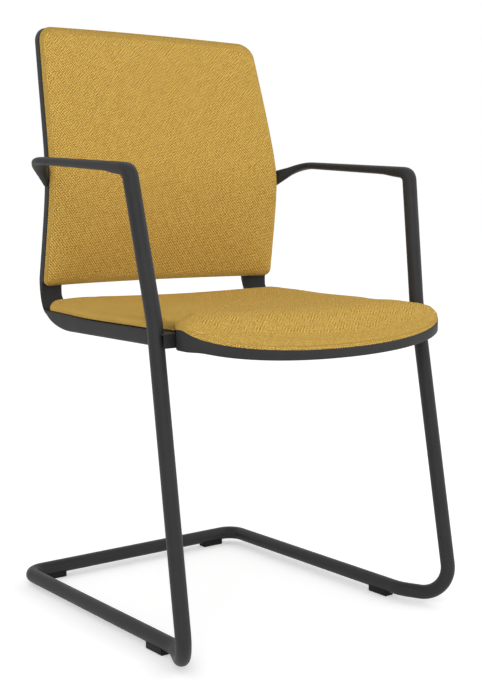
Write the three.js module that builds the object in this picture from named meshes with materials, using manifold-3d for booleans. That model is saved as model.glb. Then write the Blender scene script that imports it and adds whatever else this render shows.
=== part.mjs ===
// A sled base visitor chair: one bent steel tube from arm to arm, a moulded back frame with side rails,
// an upholstered seat and back, loop arms and floor glides.
// Millimetres, +Z up, the sitter faces -Y, x = 0 is the plane of symmetry and +X the sitter's left.
// Places along Y are measured from the foot of the front legs; the last lines move the origin.
import * as THREE from "three";
import { mergeVertices } from "three/addons/utils/BufferGeometryUtils.js";
import Module from "manifold-3d";

const wasm = await Module();
wasm.setup();

// Fits and facets
const gap = 0.3; // between pieces that touch
const overrun = 3; // how far a cutting form passes its work
const mergeDistance = 1e-3;
const tubeSides = 16;
const screwSides = 8;
const cornerSteps = 4; // facets in a moulded corner
const bendStep = THREE.MathUtils.degToRad(11); // turn between stations of a bent tube
const railBendSteps = 12;

// Sled tube, places of its centreline
const tubeRadius = 11;
const tubeWall = 2;
const rearBarY = 510.5;
const rearHalfSpread = 211.7;
const rearBendRadius = 27;
const swingHalfSpread = 214.2; // where a floor rail starts to swing out to its leg
const swingY = 76;
const swingBendRadius = 60;
const footHalfSpread = 250.4;
const footBendRadius = 43;
const kneeHalfSpread = 243.1; // the slight bend of the leg beside the seat
const kneeY = 78.7;
const kneeZ = 466.1;
const kneeBendRadius = 170;
const legTopHalfSpread = 254.9;
const legTopY = 107.7;
const legTopZ = 632;

// Floor glides, clipped under the tube
const glideFloor = 6.3; // material below the tube
const glideLength = 52;
const glideSlope = 12; // one end of a glide slopes up over this length
const glideWidth = 24;
const glideHeight = 15;
const frontGlideY = 115;
const rearGlideX = 158;

// Seat: heights are those of the level part behind the front edge
const panFloorZ = 431.5;
const panWall = 2.5;
const panEdgeRadius = 3;
const lipTopZ = 460.6;
const frontHalfWidth = 235;
const frontStartY = 36.4; // where the rounded front begins
const frontReach = 70.1;
const frontFullness = 2.19; // exponent of the rounded front in plan
const lipTopDrop = 32.8; // how far the lip's top falls towards the front
const lipFootDrop = 17.5;
const lipFootDropStartShare = 0.3;
const notchFrontY = 44; // the seat narrows here to pass inside the leg
const notchRearY = 82;
const seatRearY = 394;
const panRearRadius = 6;
const seatBoardThickness = 5.1;
const boardMargin = 4.5; // between the board's edge and the pan's wall

// Seat cushion
const cushionHalfWidth = 223;
const cushionNotchHalfWidth = 206;
const cushionNotchStartY = 104;
const cushionNotchEndY = 128;
const cushionRearY = 410;
const cushionRearRadius = 18;
const cushionInset = 1; // from the lip's outside to the cushion's widest line
const cushionHeight = 15.5;
const cushionDish = 4; // how far the middle lies below the crest
const cushionTuck = 3.2; // how far the lower edge is drawn in
const skirtTopShare = 0.45; // of the cushion's height, up to its widest line

// Side rails, part of the back frame
const railInner = 204;
const railOuter = 227.5;
const railBottomZ = 431.5;
const railTopZ = 458.2; // at its rear end
const railTopFall = 5; // how much lower its top lies further forward
const railFallStartY = 285;
const railFallEndY = 385;
const railFrontY = 97;
const railCorner = 5;
const railBendLength = 104; // the rail turns up into the strap along this length and height
const railBendHeight = 74;
const railBendFullness = 2.35;
const railLevelShare = 0.5; // of the bend, in which the rail's top hasn't turned yet
const railBlendEndShare = 0.8; // of the bend, by which it has the strap's width

// Back frame
const backBottomZ = 495;
const backTopZ = 892;
const backArch = 6; // rise of the top edge in its middle
const backLegReach = 35.9; // from the top of a leg in to the frame's side
const backBottomFlare = 2.5; // how much wider the frame is at its lower edge
const backTopTaper = 15.5; // and how much narrower at its top
const backTopRadius = 25;
const backBottomRadius = 11;
const lumbarY = 413.6; // rear face at its foremost height, at the side
const lumbarZ = 658;
const lumbarSoftness = 40;
const backTaperPower = 1.25;
const leanAbove = 0.253;
const leanBelow = 0.165;
const backBow = 30; // how much further back the middle lies than the sides
const backDepth = 13; // edge depth of the frame
const backSkin = 3;
const backRim = 4;
const backEdgeRound = 1.5;
const strapWidth = 45.5;
const strapInset = 0.8; // from the frame's side to the strap's
const strapDepth = 11.5;
const strapRun = 14; // how far a strap runs up inside the shell
const strapFootLength = 17; // the inner curve between a rail's top and its strap
const strapFootHeight = 20;

// Back pad
const backBoardThickness = 6;
const backPadHeight = 21;
const backPadTuck = 2; // how far the pad's edge is drawn in where it meets the frame
const backPadRound = 8; // width of the rounded edge of the pad's face
const backPadSkin = 5; // fabric and foam round the board's edge
const clipRadius = 4.5;
const clipFlangeRadius = 8;
const clipFlange = 2;
const clipSlack = 0.5; // at each end, as the panels are curved
const clipX = 130;
const clipHeightShares = [0.164, 0.819]; // of the back's height

// Steel seat support, welded between the legs
const beamHeight = 19;
const beamDepth = 38;
const beamWall = 2;
const barWidth = 20;
const barRearY = 376;
const crossBarDepth = 20;
const crossBarRearY = 374;

// Loop arms
const armFrontHalfThickness = 8.2;
const armRearHalfThickness = 5.9;
const armHalfWidth = 11.5;
const armFrontRise = 38.5; // from the tube's end to the arm's front corner, along the leg
const armFrontRadius = 18;
const armRearY = 368;
const armRearRise = 13.5; // of the armrest from its front corner to its rear one
const armRearRadius = 56;
const armRootReach = 6.5; // forward of the frame's rear face, at the middle of the flat end on its side
const armRootZ = 660;
const armRootHalfHeight = 13.7;
const armRootHalfDepth = 5;
const armFlarePower = 2.6; // how late the sweep deepens towards its root
const armSides = 18;
const armFullness = 2.4;
const armSocketDepth = 22;
const plugBelow = 40; // length of the plug inside the tube

// Fasteners
const railBoltRadius = 3;
const railBoltHeadRadius = 6;
const railBoltHead = 4;
const railBoltBite = 12; // length of thread in the rail
const railBoltYs = [170, 330];
const seatScrewRadius = 2.5;
const seatScrewHeadRadius = 5;
const seatScrewHead = 2.5;
const seatScrewBite = 4;
const seatScrewYs = [130, 300];
const armScrewRadius = 2.5;
const armScrewHeadRadius = 4;
const armScrewHead = 3.5;
const armScrewBite = 13;
const armScrewSpacing = 16;
const glideScrewRadius = 2;
const glideScrewHeadRadius = 4;
const glideScrewHead = 2.5;
const glideScrewRecess = 1.5;
const glideScrewBite = 4;

// Materials
const steelBlack = new THREE.MeshStandardMaterial({ color: 0x3a3a3c, roughness: 0.5, metalness: 0.2 });
const plasticBlack = new THREE.MeshStandardMaterial({ color: 0x38383a, roughness: 0.6, metalness: 0 });
const fabric = new THREE.MeshStandardMaterial({ color: 0xcfa047, roughness: 0.95, metalness: 0 });
const plywood = new THREE.MeshStandardMaterial({ color: 0xb28f5c, roughness: 0.8, metalness: 0 });
const zincSteel = new THREE.MeshStandardMaterial({ color: 0x9a9ca0, roughness: 0.4, metalness: 1 });

// Derived places
const tubeFloorZ = glideFloor + gap + tubeRadius;
const beamBottomZ = panFloorZ + panWall + gap;
const beamTopZ = beamBottomZ + beamHeight;
const beamMiddleZ = (beamBottomZ + beamTopZ) / 2;
const beamY = THREE.MathUtils.mapLinear(beamMiddleZ, tubeFloorZ, kneeZ, 0, kneeY);
const boardBottomZ = beamTopZ + gap;
const boardTopZ = boardBottomZ + seatBoardThickness;
const cushionBottomZ = Math.max(boardTopZ, railTopZ) + gap;
const panHalfWidth = railInner - gap;
const barOuter = panHalfWidth - panWall - gap;
const barInner = barOuter - barWidth;
const barMiddle = (barOuter + barInner) / 2;
const seatMiddle = [0, (cushionRearY + frontStartY - frontReach) / 2];
const backMiddle = [0, (backBottomZ + backTopZ) / 2];
const backHalfLumbar = legTopHalfSpread - backLegReach;
const backHalfBottom = backHalfLumbar + backBottomFlare;
const backHalfTop = backHalfLumbar - backTopTaper;
const strapOuter = backHalfBottom - strapInset;
const strapInner = strapOuter - strapWidth;

const { clamp, lerp, smoothstep } = THREE.MathUtils;
const up = new THREE.Vector3(0, 0, 1);
const sideways = new THREE.Vector3(1, 0, 0);
const place = (x, y, z) => new THREE.Vector3(x, y, z);
const heading = (from, to) => to.clone().sub(from).normalize();

// A quarter of a superellipse with unit half axes, from (0, 1) at turn 0 to (1, 0) at a right angle.
function superQuarter(turn, fullness) {
  const power = 2 / fullness;
  return [Math.abs(Math.sin(turn)) ** power, Math.abs(Math.cos(turn)) ** power];
}

// Solids

// A closed geometry as a solid that can be joined and cut.
function solid(geometry) {
  const bare = geometry.index ? geometry.toNonIndexed() : geometry.clone();
  bare.deleteAttribute("normal");
  bare.deleteAttribute("uv");
  const merged = mergeVertices(bare, mergeDistance);
  const corners = merged.index.array;
  const kept = [];
  for (let i = 0; i < corners.length; i += 3) {
    const [a, b, c] = corners.slice(i, i + 3);
    if (a !== b && b !== c && c !== a) kept.push(a, b, c);
  }
  const vertProperties = merged.attributes.position.array;
  return new wasm.Manifold(new wasm.Mesh({ numProp: 3, vertProperties, triVerts: new Uint32Array(kept) }));
}

// A solid, or a plain geometry, as a named mesh of the chair.
function piece(name, form, material) {
  let geometry = form;
  if (!form.isBufferGeometry) {
    const { vertProperties, triVerts } = form.getMesh();
    geometry = new THREE.BufferGeometry();
    geometry.setAttribute("position", new THREE.BufferAttribute(vertProperties, 3));
    geometry.setIndex(new THREE.BufferAttribute(triVerts, 1));
  }
  const mesh = new THREE.Mesh(geometry, material);
  mesh.name = name;
  return mesh;
}

// The same form on the other side of the plane of symmetry, with its faces turned outwards again.
function mirrored(geometry) {
  const other = geometry.clone().applyMatrix4(new THREE.Matrix4().makeScale(-1, 1, 1));
  const corners = other.index.array;
  for (let i = 0; i < corners.length; i += 3) {
    [corners[i + 1], corners[i + 2]] = [corners[i + 2], corners[i + 1]];
  }
  return other;
}

// A pair of meshes from a form of the sitter's left side: the right one is its mirror image.
function pair(name, form, material) {
  const left = piece(name + "_left", form, material);
  const right = new THREE.Mesh(left.geometry, material);
  right.name = name + "_right";
  right.scale.x = -1;
  return [left, right];
}

// A closed skin over rings of equal length, each end closed over its middle.
// The rings turn counter-clockwise as seen from the end that they run towards.
// Each quad splits along its shorter diagonal, so faces that lie one over the other match.
function loft(rings) {
  const count = rings[0].length;
  const middleOf = (ring) => ring.reduce((sum, p) => sum.add(p), place(0, 0, 0)).divideScalar(count);
  const points = [...rings.flat(), middleOf(rings[0]), middleOf(rings[rings.length - 1])];
  const startMiddle = rings.length * count;
  const faces = [];
  for (let i = 0; i < count; i++) {
    const next = (i + 1) % count;
    faces.push(startMiddle, next, i);
    for (let k = 0; k < rings.length - 1; k++) {
      const [a, b, c, d] = [k * count + i, k * count + next, (k + 1) * count + next, (k + 1) * count + i];
      const slack = points[a].distanceTo(points[c]) - points[b].distanceTo(points[d]);
      if (slack < mergeDistance) faces.push(a, b, c, a, c, d);
      else faces.push(a, b, d, b, c, d);
    }
    const last = startMiddle - count;
    faces.push(startMiddle + 1, last + i, last + next);
  }
  const geometry = new THREE.BufferGeometry().setFromPoints(points);
  return geometry.setIndex(faces);
}

// A closed outline moved in by a distance along its corners' mitres.
function drawnIn(outline, inset) {
  const count = outline.length;
  return outline.map(([a, b], i) => {
    const [a0, b0] = outline[(i + count - 1) % count];
    const [a1, b1] = outline[(i + 1) % count];
    const before = new THREE.Vector2(b - b0, a0 - a).normalize();
    const after = new THREE.Vector2(b1 - b, a - a1).normalize();
    const reach = inset / (1 + before.dot(after));
    return [a - (before.x + after.x) * reach, b - (before.y + after.y) * reach];
  });
}

// A moulded form: each step of its profile is a ring that follows the outline, drawn in by an inset,
// shrunk towards the middle by a share, at a height; form() turns the three into a point.
// A step with an outline of its own follows that one.
function moulding(outline, middle, profile, form) {
  const rings = profile.map(({ outline: followed = outline, inset = 0, share = 1, height }) =>
    drawnIn(followed, inset).map(([a, b]) =>
      form(lerp(middle[0], a, share), lerp(middle[1], b, share), height),
    ),
  );
  return loft(rings);
}

// The steps of a profile that fill the middle of a face, outwards or, reversed, inwards.
const filling = (shares, inset, height) => shares.map((share) => ({ inset, share, height }));

// Half an outline, from its low middle round the +a side to its high middle, as the whole outline.
function bothHalves(half) {
  const others = half.slice(1, -1).map(([a, b]) => [-a, b]);
  return [...half, ...others.reverse()];
}

// Stations of a path that runs straight between corners and turns each corner on an arc.
function bentPath(corners) {
  const last = corners.length - 1;
  const stations = [{ at: corners[0].at, along: heading(corners[0].at, corners[1].at) }];
  corners.slice(1, last).forEach(({ at, radius }, i) => {
    const before = heading(corners[i].at, at);
    const after = heading(at, corners[i + 2].at);
    const turn = before.angleTo(after);
    const start = at.clone().addScaledVector(before, -radius * Math.tan(turn / 2));
    const centre = at.clone().addScaledVector(heading(before, after), radius / Math.cos(turn / 2));
    const axis = before.clone().cross(after).normalize();
    const steps = Math.ceil(turn / bendStep);
    for (let k = 0; k <= steps; k++) {
      const angle = (turn * k) / steps;
      const arm = start.clone().sub(centre).applyAxisAngle(axis, angle);
      stations.push({ at: arm.add(centre), along: before.clone().applyAxisAngle(axis, angle) });
    }
  });
  stations.push({ at: corners[last].at, along: heading(corners[last - 1].at, corners[last].at) });
  return stations;
}

// A curve that an extrusion follows station by station.
class StationCurve extends THREE.Curve {
  constructor(stations) {
    super();
    this.stations = stations;
  }
  station(share) {
    return this.stations[Math.round(share * (this.stations.length - 1))];
  }
  getPointAt(share) {
    return this.station(share).at.clone();
  }
  getTangentAt(share) {
    return this.station(share).along.clone();
  }
}

// A round bar along stations, hollow if it has a bore.
function roundBar(stations, radius, bore) {
  const section = new THREE.Shape().absarc(0, 0, radius, 0, 2 * Math.PI);
  if (bore) section.holes.push(new THREE.Path().absarc(0, 0, bore, 0, 2 * Math.PI, true));
  const extrudePath = new StationCurve(stations);
  const steps = stations.length - 1;
  return new THREE.ExtrudeGeometry(section, { extrudePath, steps, curveSegments: tubeSides / 2 });
}

// A turned form: radius and height pairs from axis to axis, standing at a place along a direction.
function turned(profile, at, direction) {
  const points = profile.map(([radius, height]) => new THREE.Vector2(radius, height));
  const turn = new THREE.Quaternion().setFromUnitVectors(place(0, 1, 0), direction);
  const matrix = new THREE.Matrix4().compose(at, turn, place(1, 1, 1));
  return new THREE.LatheGeometry(points, screwSides).applyMatrix4(matrix);
}

// A plain pin, for shanks and for the holes that take them.
function pin(radius, from, to) {
  const length = from.distanceTo(to);
  return turned([[0, 0], [radius, 0], [radius, length], [0, length]], from, heading(from, to));
}

// A screw whose head's seat is at a place and whose shank runs along a direction.
function screw(headRadius, head, radius, length, seat, direction) {
  const profile = [[0, -head], [headRadius, -head], [headRadius, 0], [radius, 0], [radius, length], [0, length]];
  return turned(profile, seat, direction);
}

// A box between two corners.
function block(low, high) {
  const size = high.clone().sub(low);
  const middle = low.clone().add(high).divideScalar(2);
  return new THREE.BoxGeometry(size.x, size.y, size.z).translate(middle.x, middle.y, middle.z);
}

// A box tube between two corners, open at the ends of the axis that it runs along.
function boxTube(low, high, axis) {
  const wall = place(beamWall, beamWall, beamWall);
  wall[axis] = -overrun;
  return solid(block(low, high)).subtract(solid(block(low.clone().add(wall), high.clone().sub(wall))));
}

// Sled tube

const halfTube = [
  { at: place(rearHalfSpread, rearBarY, tubeFloorZ), radius: rearBendRadius },
  { at: place(swingHalfSpread, swingY, tubeFloorZ), radius: swingBendRadius },
  { at: place(footHalfSpread, 0, tubeFloorZ), radius: footBendRadius },
  { at: place(kneeHalfSpread, kneeY, kneeZ), radius: kneeBendRadius },
  { at: place(legTopHalfSpread, legTopY, legTopZ) },
];
const kneeToTop = heading(halfTube[3].at, halfTube[4].at);
const otherHalf = halfTube.map(({ at, radius }) => ({ at: place(-at.x, at.y, at.z), radius }));
const tubePath = bentPath([...otherHalf.reverse(), ...halfTube]);

// The four glides: the place under the tube's centreline and the direction of the tube there.
const glidePlaces = [
  { name: "front_left", at: place(railAt(frontGlideY), frontGlideY, 0), turn: 0 },
  { name: "front_right", at: place(-railAt(frontGlideY), frontGlideY, 0), turn: 0 },
  { name: "rear_left", at: place(rearGlideX, rearBarY, 0), turn: -Math.PI / 2 },
  { name: "rear_right", at: place(-rearGlideX, rearBarY, 0), turn: Math.PI / 2 },
];

// How far out a floor rail lies at a place along it.
function railAt(y) {
  return THREE.MathUtils.mapLinear(y, swingY, rearBarY, swingHalfSpread, rearHalfSpread);
}

const glideScrewSeatZ = glideScrewRecess + glideScrewHead;
const glideScrewTopZ = glideFloor + gap + tubeWall + glideScrewBite;

function sledTube() {
  let tube = solid(roundBar(tubePath, tubeRadius, tubeRadius - tubeWall));
  for (const { at } of glidePlaces) {
    const top = at.clone().setZ(tubeFloorZ);
    tube = tube.subtract(solid(pin(glideScrewRadius + gap, at, top)));
  }
  return piece("sled_tube", tube, steelBlack);
}

// A glide cradles the tube from below; its screw's head sits in a recess of the flat foot.
function glide({ name, at, turn }) {
  const half = glideWidth / 2;
  const groove = tubeRadius + gap;
  const spread = Math.acos((tubeFloorZ - glideHeight) / groove);
  const section = new THREE.Shape();
  section.moveTo(-half, 0);
  section.lineTo(half, 0);
  section.lineTo(half, glideHeight);
  section.absarc(0, tubeFloorZ, groove, spread - Math.PI / 2, -spread - Math.PI / 2, true);
  section.lineTo(-half, glideHeight);
  const body = new THREE.ExtrudeGeometry(section, {
    depth: glideLength,
    bevelEnabled: false,
    curveSegments: cornerSteps,
  });
  body.translate(0, 0, -glideLength / 2).rotateX(Math.PI / 2).rotateZ(turn).translate(at.x, at.y, at.z);
  const toe = new THREE.Shape([
    new THREE.Vector2(-glideLength / 2 + glideSlope, 0),
    new THREE.Vector2(-glideLength / 2, glideFloor),
    new THREE.Vector2(-glideLength / 2 - overrun, glideFloor),
    new THREE.Vector2(-glideLength / 2 - overrun, 0),
  ]);
  const slope = new THREE.ExtrudeGeometry(toe, { depth: glideWidth + 2 * overrun, bevelEnabled: false });
  slope.translate(0, 0, -glideWidth / 2 - overrun).rotateX(Math.PI / 2).rotateZ(turn + Math.PI / 2);
  slope.translate(at.x, at.y, at.z);
  const under = at.clone().setZ(-overrun);
  const recess = pin(glideScrewHeadRadius + gap, under, at.clone().setZ(glideScrewSeatZ));
  const hole = pin(glideScrewRadius + gap, under, at.clone().setZ(tubeFloorZ));
  const cut = solid(body).subtract(solid(recess)).subtract(solid(hole)).subtract(solid(slope));
  return piece("glide_" + name, cut, plasticBlack);
}

function glideScrew({ name, at }) {
  const seat = at.clone().setZ(glideScrewSeatZ - gap);
  const length = glideScrewTopZ - glideScrewSeatZ;
  const form = screw(glideScrewHeadRadius, glideScrewHead - gap, glideScrewRadius, length, seat, up);
  return piece("glide_screw_" + name, form, zincSteel);
}

// Seat support

// The beam's ends are coped round the legs, with the gap of a weld's seat.
function seatBeam() {
  const low = place(-kneeHalfSpread, beamY - beamDepth / 2, beamBottomZ);
  const high = place(kneeHalfSpread, beamY + beamDepth / 2, beamTopZ);
  const legs = solid(roundBar(tubePath, tubeRadius + gap));
  const coped = boxTube(low, high, "x").subtract(legs);
  const middle = coped.decompose().sort((a, b) => b.volume() - a.volume())[0];
  return piece("seat_cross_beam", middle, steelBlack);
}

function supportBars() {
  const frontY = beamY + beamDepth / 2 + gap;
  const low = place(barInner, frontY, beamBottomZ);
  let bar = boxTube(low, place(barOuter, barRearY, beamTopZ), "y");
  for (const y of railBoltYs) {
    bar = bar.subtract(solid(railBoltHole(y)));
  }
  for (const y of seatScrewYs) {
    const hole = pin(seatScrewRadius + gap, place(barMiddle, y, panFloorZ), place(barMiddle, y, boardTopZ));
    bar = bar.subtract(solid(hole));
  }
  return pair("seat_support_bar", bar, steelBlack);
}

function rearCrossBar() {
  const halfLength = barInner - gap;
  const low = place(-halfLength, crossBarRearY - crossBarDepth, beamBottomZ);
  const bar = boxTube(low, place(halfLength, crossBarRearY, beamTopZ), "x");
  return piece("seat_rear_cross_bar", bar, steelBlack);
}

// Rail bolts run outwards through a support bar and the pan's wall into a blind hole in the rail.
function railBoltHole(y) {
  const end = railInner + railBoltBite + gap;
  return pin(railBoltRadius + gap, place(barInner - overrun, y, beamMiddleZ), place(end, y, beamMiddleZ));
}

function railBolts(y, i) {
  const seat = place(barInner - gap, y, beamMiddleZ);
  const length = railInner + railBoltBite - seat.x;
  const form = screw(railBoltHeadRadius, railBoltHead, railBoltRadius, length, seat, sideways);
  return pair("rail_bolt_" + (i + 1), form, zincSteel);
}

// Seat screws run up through the pan and a support bar into the board.
function seatScrews(y, i) {
  const seat = place(barMiddle, y, panFloorZ - gap);
  const length = boardBottomZ + seatScrewBite - seat.z;
  const form = screw(seatScrewHeadRadius, seatScrewHead, seatScrewRadius, length, seat, up);
  return pair("seat_screw_" + (i + 1), form, zincSteel);
}

// Seat

// Plan outline of a seat layer: a rounded front, a step in beside each leg and straight sides.
// The cushion's sides step out again behind the leg, where it lies on the rails.
function seatOutline({ frontInset, notchHalf, sideHalf, rearY, rearRadius }) {
  const front = frontHalfWidth - frontInset;
  const reach = frontReach - frontInset;
  const frontSteps = 10;
  const half = [];
  for (let k = 0; k <= frontSteps; k++) {
    const [out, forward] = superQuarter((k / frontSteps) * (Math.PI / 2), frontFullness);
    half.push([front * out, frontStartY - reach * forward]);
  }
  const stepIn = 6;
  for (let k = 1; k <= stepIn; k++) {
    const y = lerp(notchFrontY, notchRearY, k / stepIn);
    half.push([lerp(front, notchHalf, smoothstep(y, notchFrontY, notchRearY)), y]);
  }
  const stepOut = 4;
  for (let k = 0; k <= stepOut; k++) {
    const y = lerp(cushionNotchStartY, cushionNotchEndY, k / stepOut);
    half.push([lerp(notchHalf, sideHalf, smoothstep(y, cushionNotchStartY, cushionNotchEndY)), y]);
  }
  half.push([sideHalf, railFallStartY], [sideHalf, railFallEndY]);
  for (let k = 0; k <= cornerSteps; k++) {
    const turn = (k / cornerSteps) * (Math.PI / 2);
    const x = sideHalf - rearRadius * (1 - Math.cos(turn));
    half.push([x, rearY - rearRadius * (1 - Math.sin(turn))]);
  }
  half.push([sideHalf / 2, rearY], [0, rearY]);
  return bothHalves(half);
}

// The seat's layers fall together towards the front, the lip's top further than its foot.
function seatForm(x, y, height) {
  const forward = (frontStartY - y) / frontReach;
  const topDrop = lipTopDrop * smoothstep(forward, 0, 1);
  const footDrop = lipFootDrop * smoothstep(forward, lipFootDropStartShare, 1);
  const upShare = clamp((height - panFloorZ) / (lipTopZ - panFloorZ), 0, 1);
  return place(x, y, height - lerp(footDrop, topDrop, upShare));
}

const panOutline = seatOutline({
  frontInset: 0,
  notchHalf: panHalfWidth,
  sideHalf: panHalfWidth,
  rearY: seatRearY,
  rearRadius: panRearRadius,
});

// Rings close to the front follow its fall.
const seatFillShares = [0.69, 0.77, 0.85, 0.93];
const seatFill = (inset, height) => filling(seatFillShares, inset, height);

// The pan is a shallow tray whose lip shows round the front and passes inside the legs.
function seatPan() {
  const profile = [
    ...seatFill(panEdgeRadius, panFloorZ),
    { inset: panEdgeRadius, height: panFloorZ },
    { inset: panEdgeRadius / 4, height: panFloorZ + panEdgeRadius / 4 },
    { height: panFloorZ + panEdgeRadius },
    { height: lipTopZ - panWall / 3 },
    { inset: panWall / 3, height: lipTopZ },
    { inset: panWall, height: lipTopZ },
    { inset: panWall, height: panFloorZ + panWall },
    ...seatFill(panWall, panFloorZ + panWall).reverse(),
  ];
  let pan = solid(moulding(panOutline, seatMiddle, profile, seatForm));
  // From the notch beside each leg the wall stops under the cushion.
  const lowered = block(
    place(-frontHalfWidth - overrun, notchFrontY, cushionBottomZ - gap),
    place(frontHalfWidth + overrun, seatRearY + overrun, lipTopZ + overrun),
  );
  const beamWindow = block(
    place(-frontHalfWidth, beamY - beamDepth / 2 - gap, beamBottomZ - gap / 2),
    place(frontHalfWidth, beamY + beamDepth / 2 + gap, beamTopZ + gap),
  );
  pan = pan.subtract(solid(lowered)).subtract(solid(beamWindow));
  for (const side of [-1, 1]) {
    for (const y of railBoltYs) {
      const from = place(side * barOuter, y, beamMiddleZ);
      pan = pan.subtract(solid(pin(railBoltRadius + gap, from, place(side * railInner, y, beamMiddleZ))));
    }
    for (const y of seatScrewYs) {
      const from = place(side * barMiddle, y, panFloorZ - overrun);
      pan = pan.subtract(solid(pin(seatScrewRadius + gap, from, from.clone().setZ(beamBottomZ))));
    }
  }
  return piece("seat_pan", pan, plasticBlack);
}

const boardOutline = drawnIn(panOutline, panWall + boardMargin);

function seatBoard() {
  const profile = [
    ...seatFill(0, boardBottomZ),
    { height: boardBottomZ },
    { height: boardTopZ },
    ...seatFill(0, boardTopZ).reverse(),
  ];
  let board = solid(moulding(boardOutline, seatMiddle, profile, seatForm));
  for (const side of [-1, 1]) {
    for (const y of seatScrewYs) {
      const from = place(side * barMiddle, y, beamTopZ);
      const end = boardBottomZ + seatScrewBite + gap;
      board = board.subtract(solid(pin(seatScrewRadius + gap, from, from.clone().setZ(end))));
    }
  }
  return piece("seat_board", board, plywood);
}

// The cushion above its widest line, as shares of its corner's radius, of the way out from the middle,
// of its height and of its dish.
const cushionTopShares = [
  [0.04, 1, 0.65, 0],
  [0.19, 1, 0.85, 0],
  [0.5, 1, 0.95, 0],
  [0.5, 0.94, 1, 0],
  [0.5, 0.86, 1, 0],
  [0.5, 0.78, 1, 0.15],
  [0.5, 0.7, 1, 0.3],
  [0.5, 0.4, 1, 1],
];

// The cushion's lower edge is tucked in, its side swells over the rails and the lip, and its top
// dishes slightly in the middle.
function seatCushion() {
  const outline = seatOutline({
    frontInset: cushionInset,
    notchHalf: cushionNotchHalfWidth,
    sideHalf: cushionHalfWidth,
    rearY: cushionRearY,
    rearRadius: cushionRearRadius,
  });
  const inner = (y) => (y > cushionNotchStartY ? railInner + gap : frontHalfWidth);
  const drawn = drawnIn(outline, 1.5 * cushionTuck);
  const underside = drawn.map(([x, y]) => [clamp(x, -inner(y), inner(y)), y]);
  const rise = (share) => cushionBottomZ + cushionHeight * share;
  const profile = [
    ...seatFill(0, rise(0)).map((step) => ({ ...step, outline: boardOutline })),
    { outline: boardOutline, height: rise(0) },
    { outline: underside, height: rise(0) },
    { outline: underside, height: rise(0) - railTopFall },
    { inset: cushionTuck, height: rise(0) - railTopFall },
    { inset: cushionTuck, height: Math.max(rise(0), lipTopZ) + gap },
    { inset: cushionTuck / 4, height: rise(0.27) },
    { height: rise(skirtTopShare) },
    ...cushionTopShares.map(([roundShare, share, riseShare, dishShare]) => ({
      inset: cushionRearRadius * roundShare,
      share,
      height: rise(riseShare) - cushionDish * dishShare,
    })),
  ];
  return piece("seat_cushion", moulding(outline, seatMiddle, profile, cushionForm), fabric);
}

// Heights under the cushion's level underside hang down outside the pan's wall to each rail's top.
function cushionForm(x, y, height) {
  if (height >= cushionBottomZ) return seatForm(x, y, height);
  const overRail = smoothstep(y, cushionNotchEndY - 1.5 * cushionTuck, cushionNotchEndY);
  const hanging = Math.max((cushionBottomZ - gap - railTop(y)) * overRail, gap / 6);
  return seatForm(x, y, cushionBottomZ - (hanging * (cushionBottomZ - height)) / railTopFall);
}

// Back frame

// How far back the frame's rear face lies at its side, at a height.
function backY(z) {
  const lean = z > lumbarZ ? leanAbove : leanBelow;
  return lumbarY + lean * (Math.hypot(z - lumbarZ, lumbarSoftness) - lumbarSoftness);
}

function backHalf(z) {
  if (z < lumbarZ) return THREE.MathUtils.mapLinear(z, backBottomZ, lumbarZ, backHalfBottom, backHalfLumbar);
  const share = (z - lumbarZ) / (backTopZ - lumbarZ);
  return lerp(backHalfLumbar, backHalfTop, share ** backTaperPower);
}

const bow = (x) => backBow * (1 - (x / backHalfLumbar) ** 2);

// A point of the back at a distance forward of the frame's rear face.
const backForm = (x, z, forward) => place(x, backY(z) + bow(x) - forward, z);

// Front view outline of the back, from the middle of its lower edge round its +X side.
const backOutline = backViewOutline();
function backViewOutline() {
  const edgeSteps = 6;
  const sideSteps = 9;
  const cornerTop = backTopZ - backArch;
  const half = [];
  const add = (xShare, z) => half.push([xShare * backHalf(z), z]);
  const arched = (xShare) => cornerTop + backArch * (1 - xShare ** 2);
  const lowShare = 1 - backBottomRadius / backHalfBottom;
  const highShare = 1 - backTopRadius / backHalfTop;
  for (let k = 0; k < edgeSteps; k++) add((lowShare * k) / edgeSteps, backBottomZ);
  for (let k = 0; k <= cornerSteps; k++) {
    const turn = (k / cornerSteps) * (Math.PI / 2);
    add(lerp(lowShare, 1, Math.sin(turn)), backBottomZ + backBottomRadius * (1 - Math.cos(turn)));
  }
  const sideLow = backBottomZ + backBottomRadius;
  const sideHigh = cornerTop - backTopRadius;
  for (let k = 1; k < sideSteps; k++) add(1, lerp(sideLow, sideHigh, k / sideSteps));
  for (let k = 0; k <= cornerSteps; k++) {
    const turn = (k / cornerSteps) * (Math.PI / 2);
    const xShare = lerp(highShare, 1, Math.cos(turn));
    half.push([xShare * backHalf(sideHigh), arched(xShare) - backTopRadius * (1 - Math.sin(turn))]);
  }
  for (let k = edgeSteps - 1; k >= 0; k--) {
    const xShare = (highShare * k) / edgeSteps;
    half.push([xShare * backHalf(sideHigh), arched(xShare)]);
  }
  return bothHalves(half);
}

const backFillShares = [0.2, 0.4, 0.6, 0.8];
const fill = (inset, height) => filling(backFillShares, inset, height);

function backShell() {
  const profile = [
    ...fill(backRim, 0),
    { inset: backRim, height: 0 },
    { inset: backEdgeRound / 3, height: backEdgeRound / 3 },
    { height: backEdgeRound },
    { height: backDepth - backEdgeRound },
    { inset: backEdgeRound / 3, height: backDepth - backEdgeRound / 3 },
    { inset: backEdgeRound, height: backDepth },
    { inset: backRim, height: backDepth },
    { inset: backRim, height: backSkin },
    ...fill(backRim, backSkin).reverse(),
  ];
  return solid(moulding(backOutline, backMiddle, profile, backForm));
}

// The bottom of the bend that turns a side rail up into its strap.
const bendEndY = backY(backBottomZ);
const bendStartY = bendEndY - railBendLength;
const innerEndY = bendEndY - strapDepth;
const innerStartY = innerEndY - strapFootLength;

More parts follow.
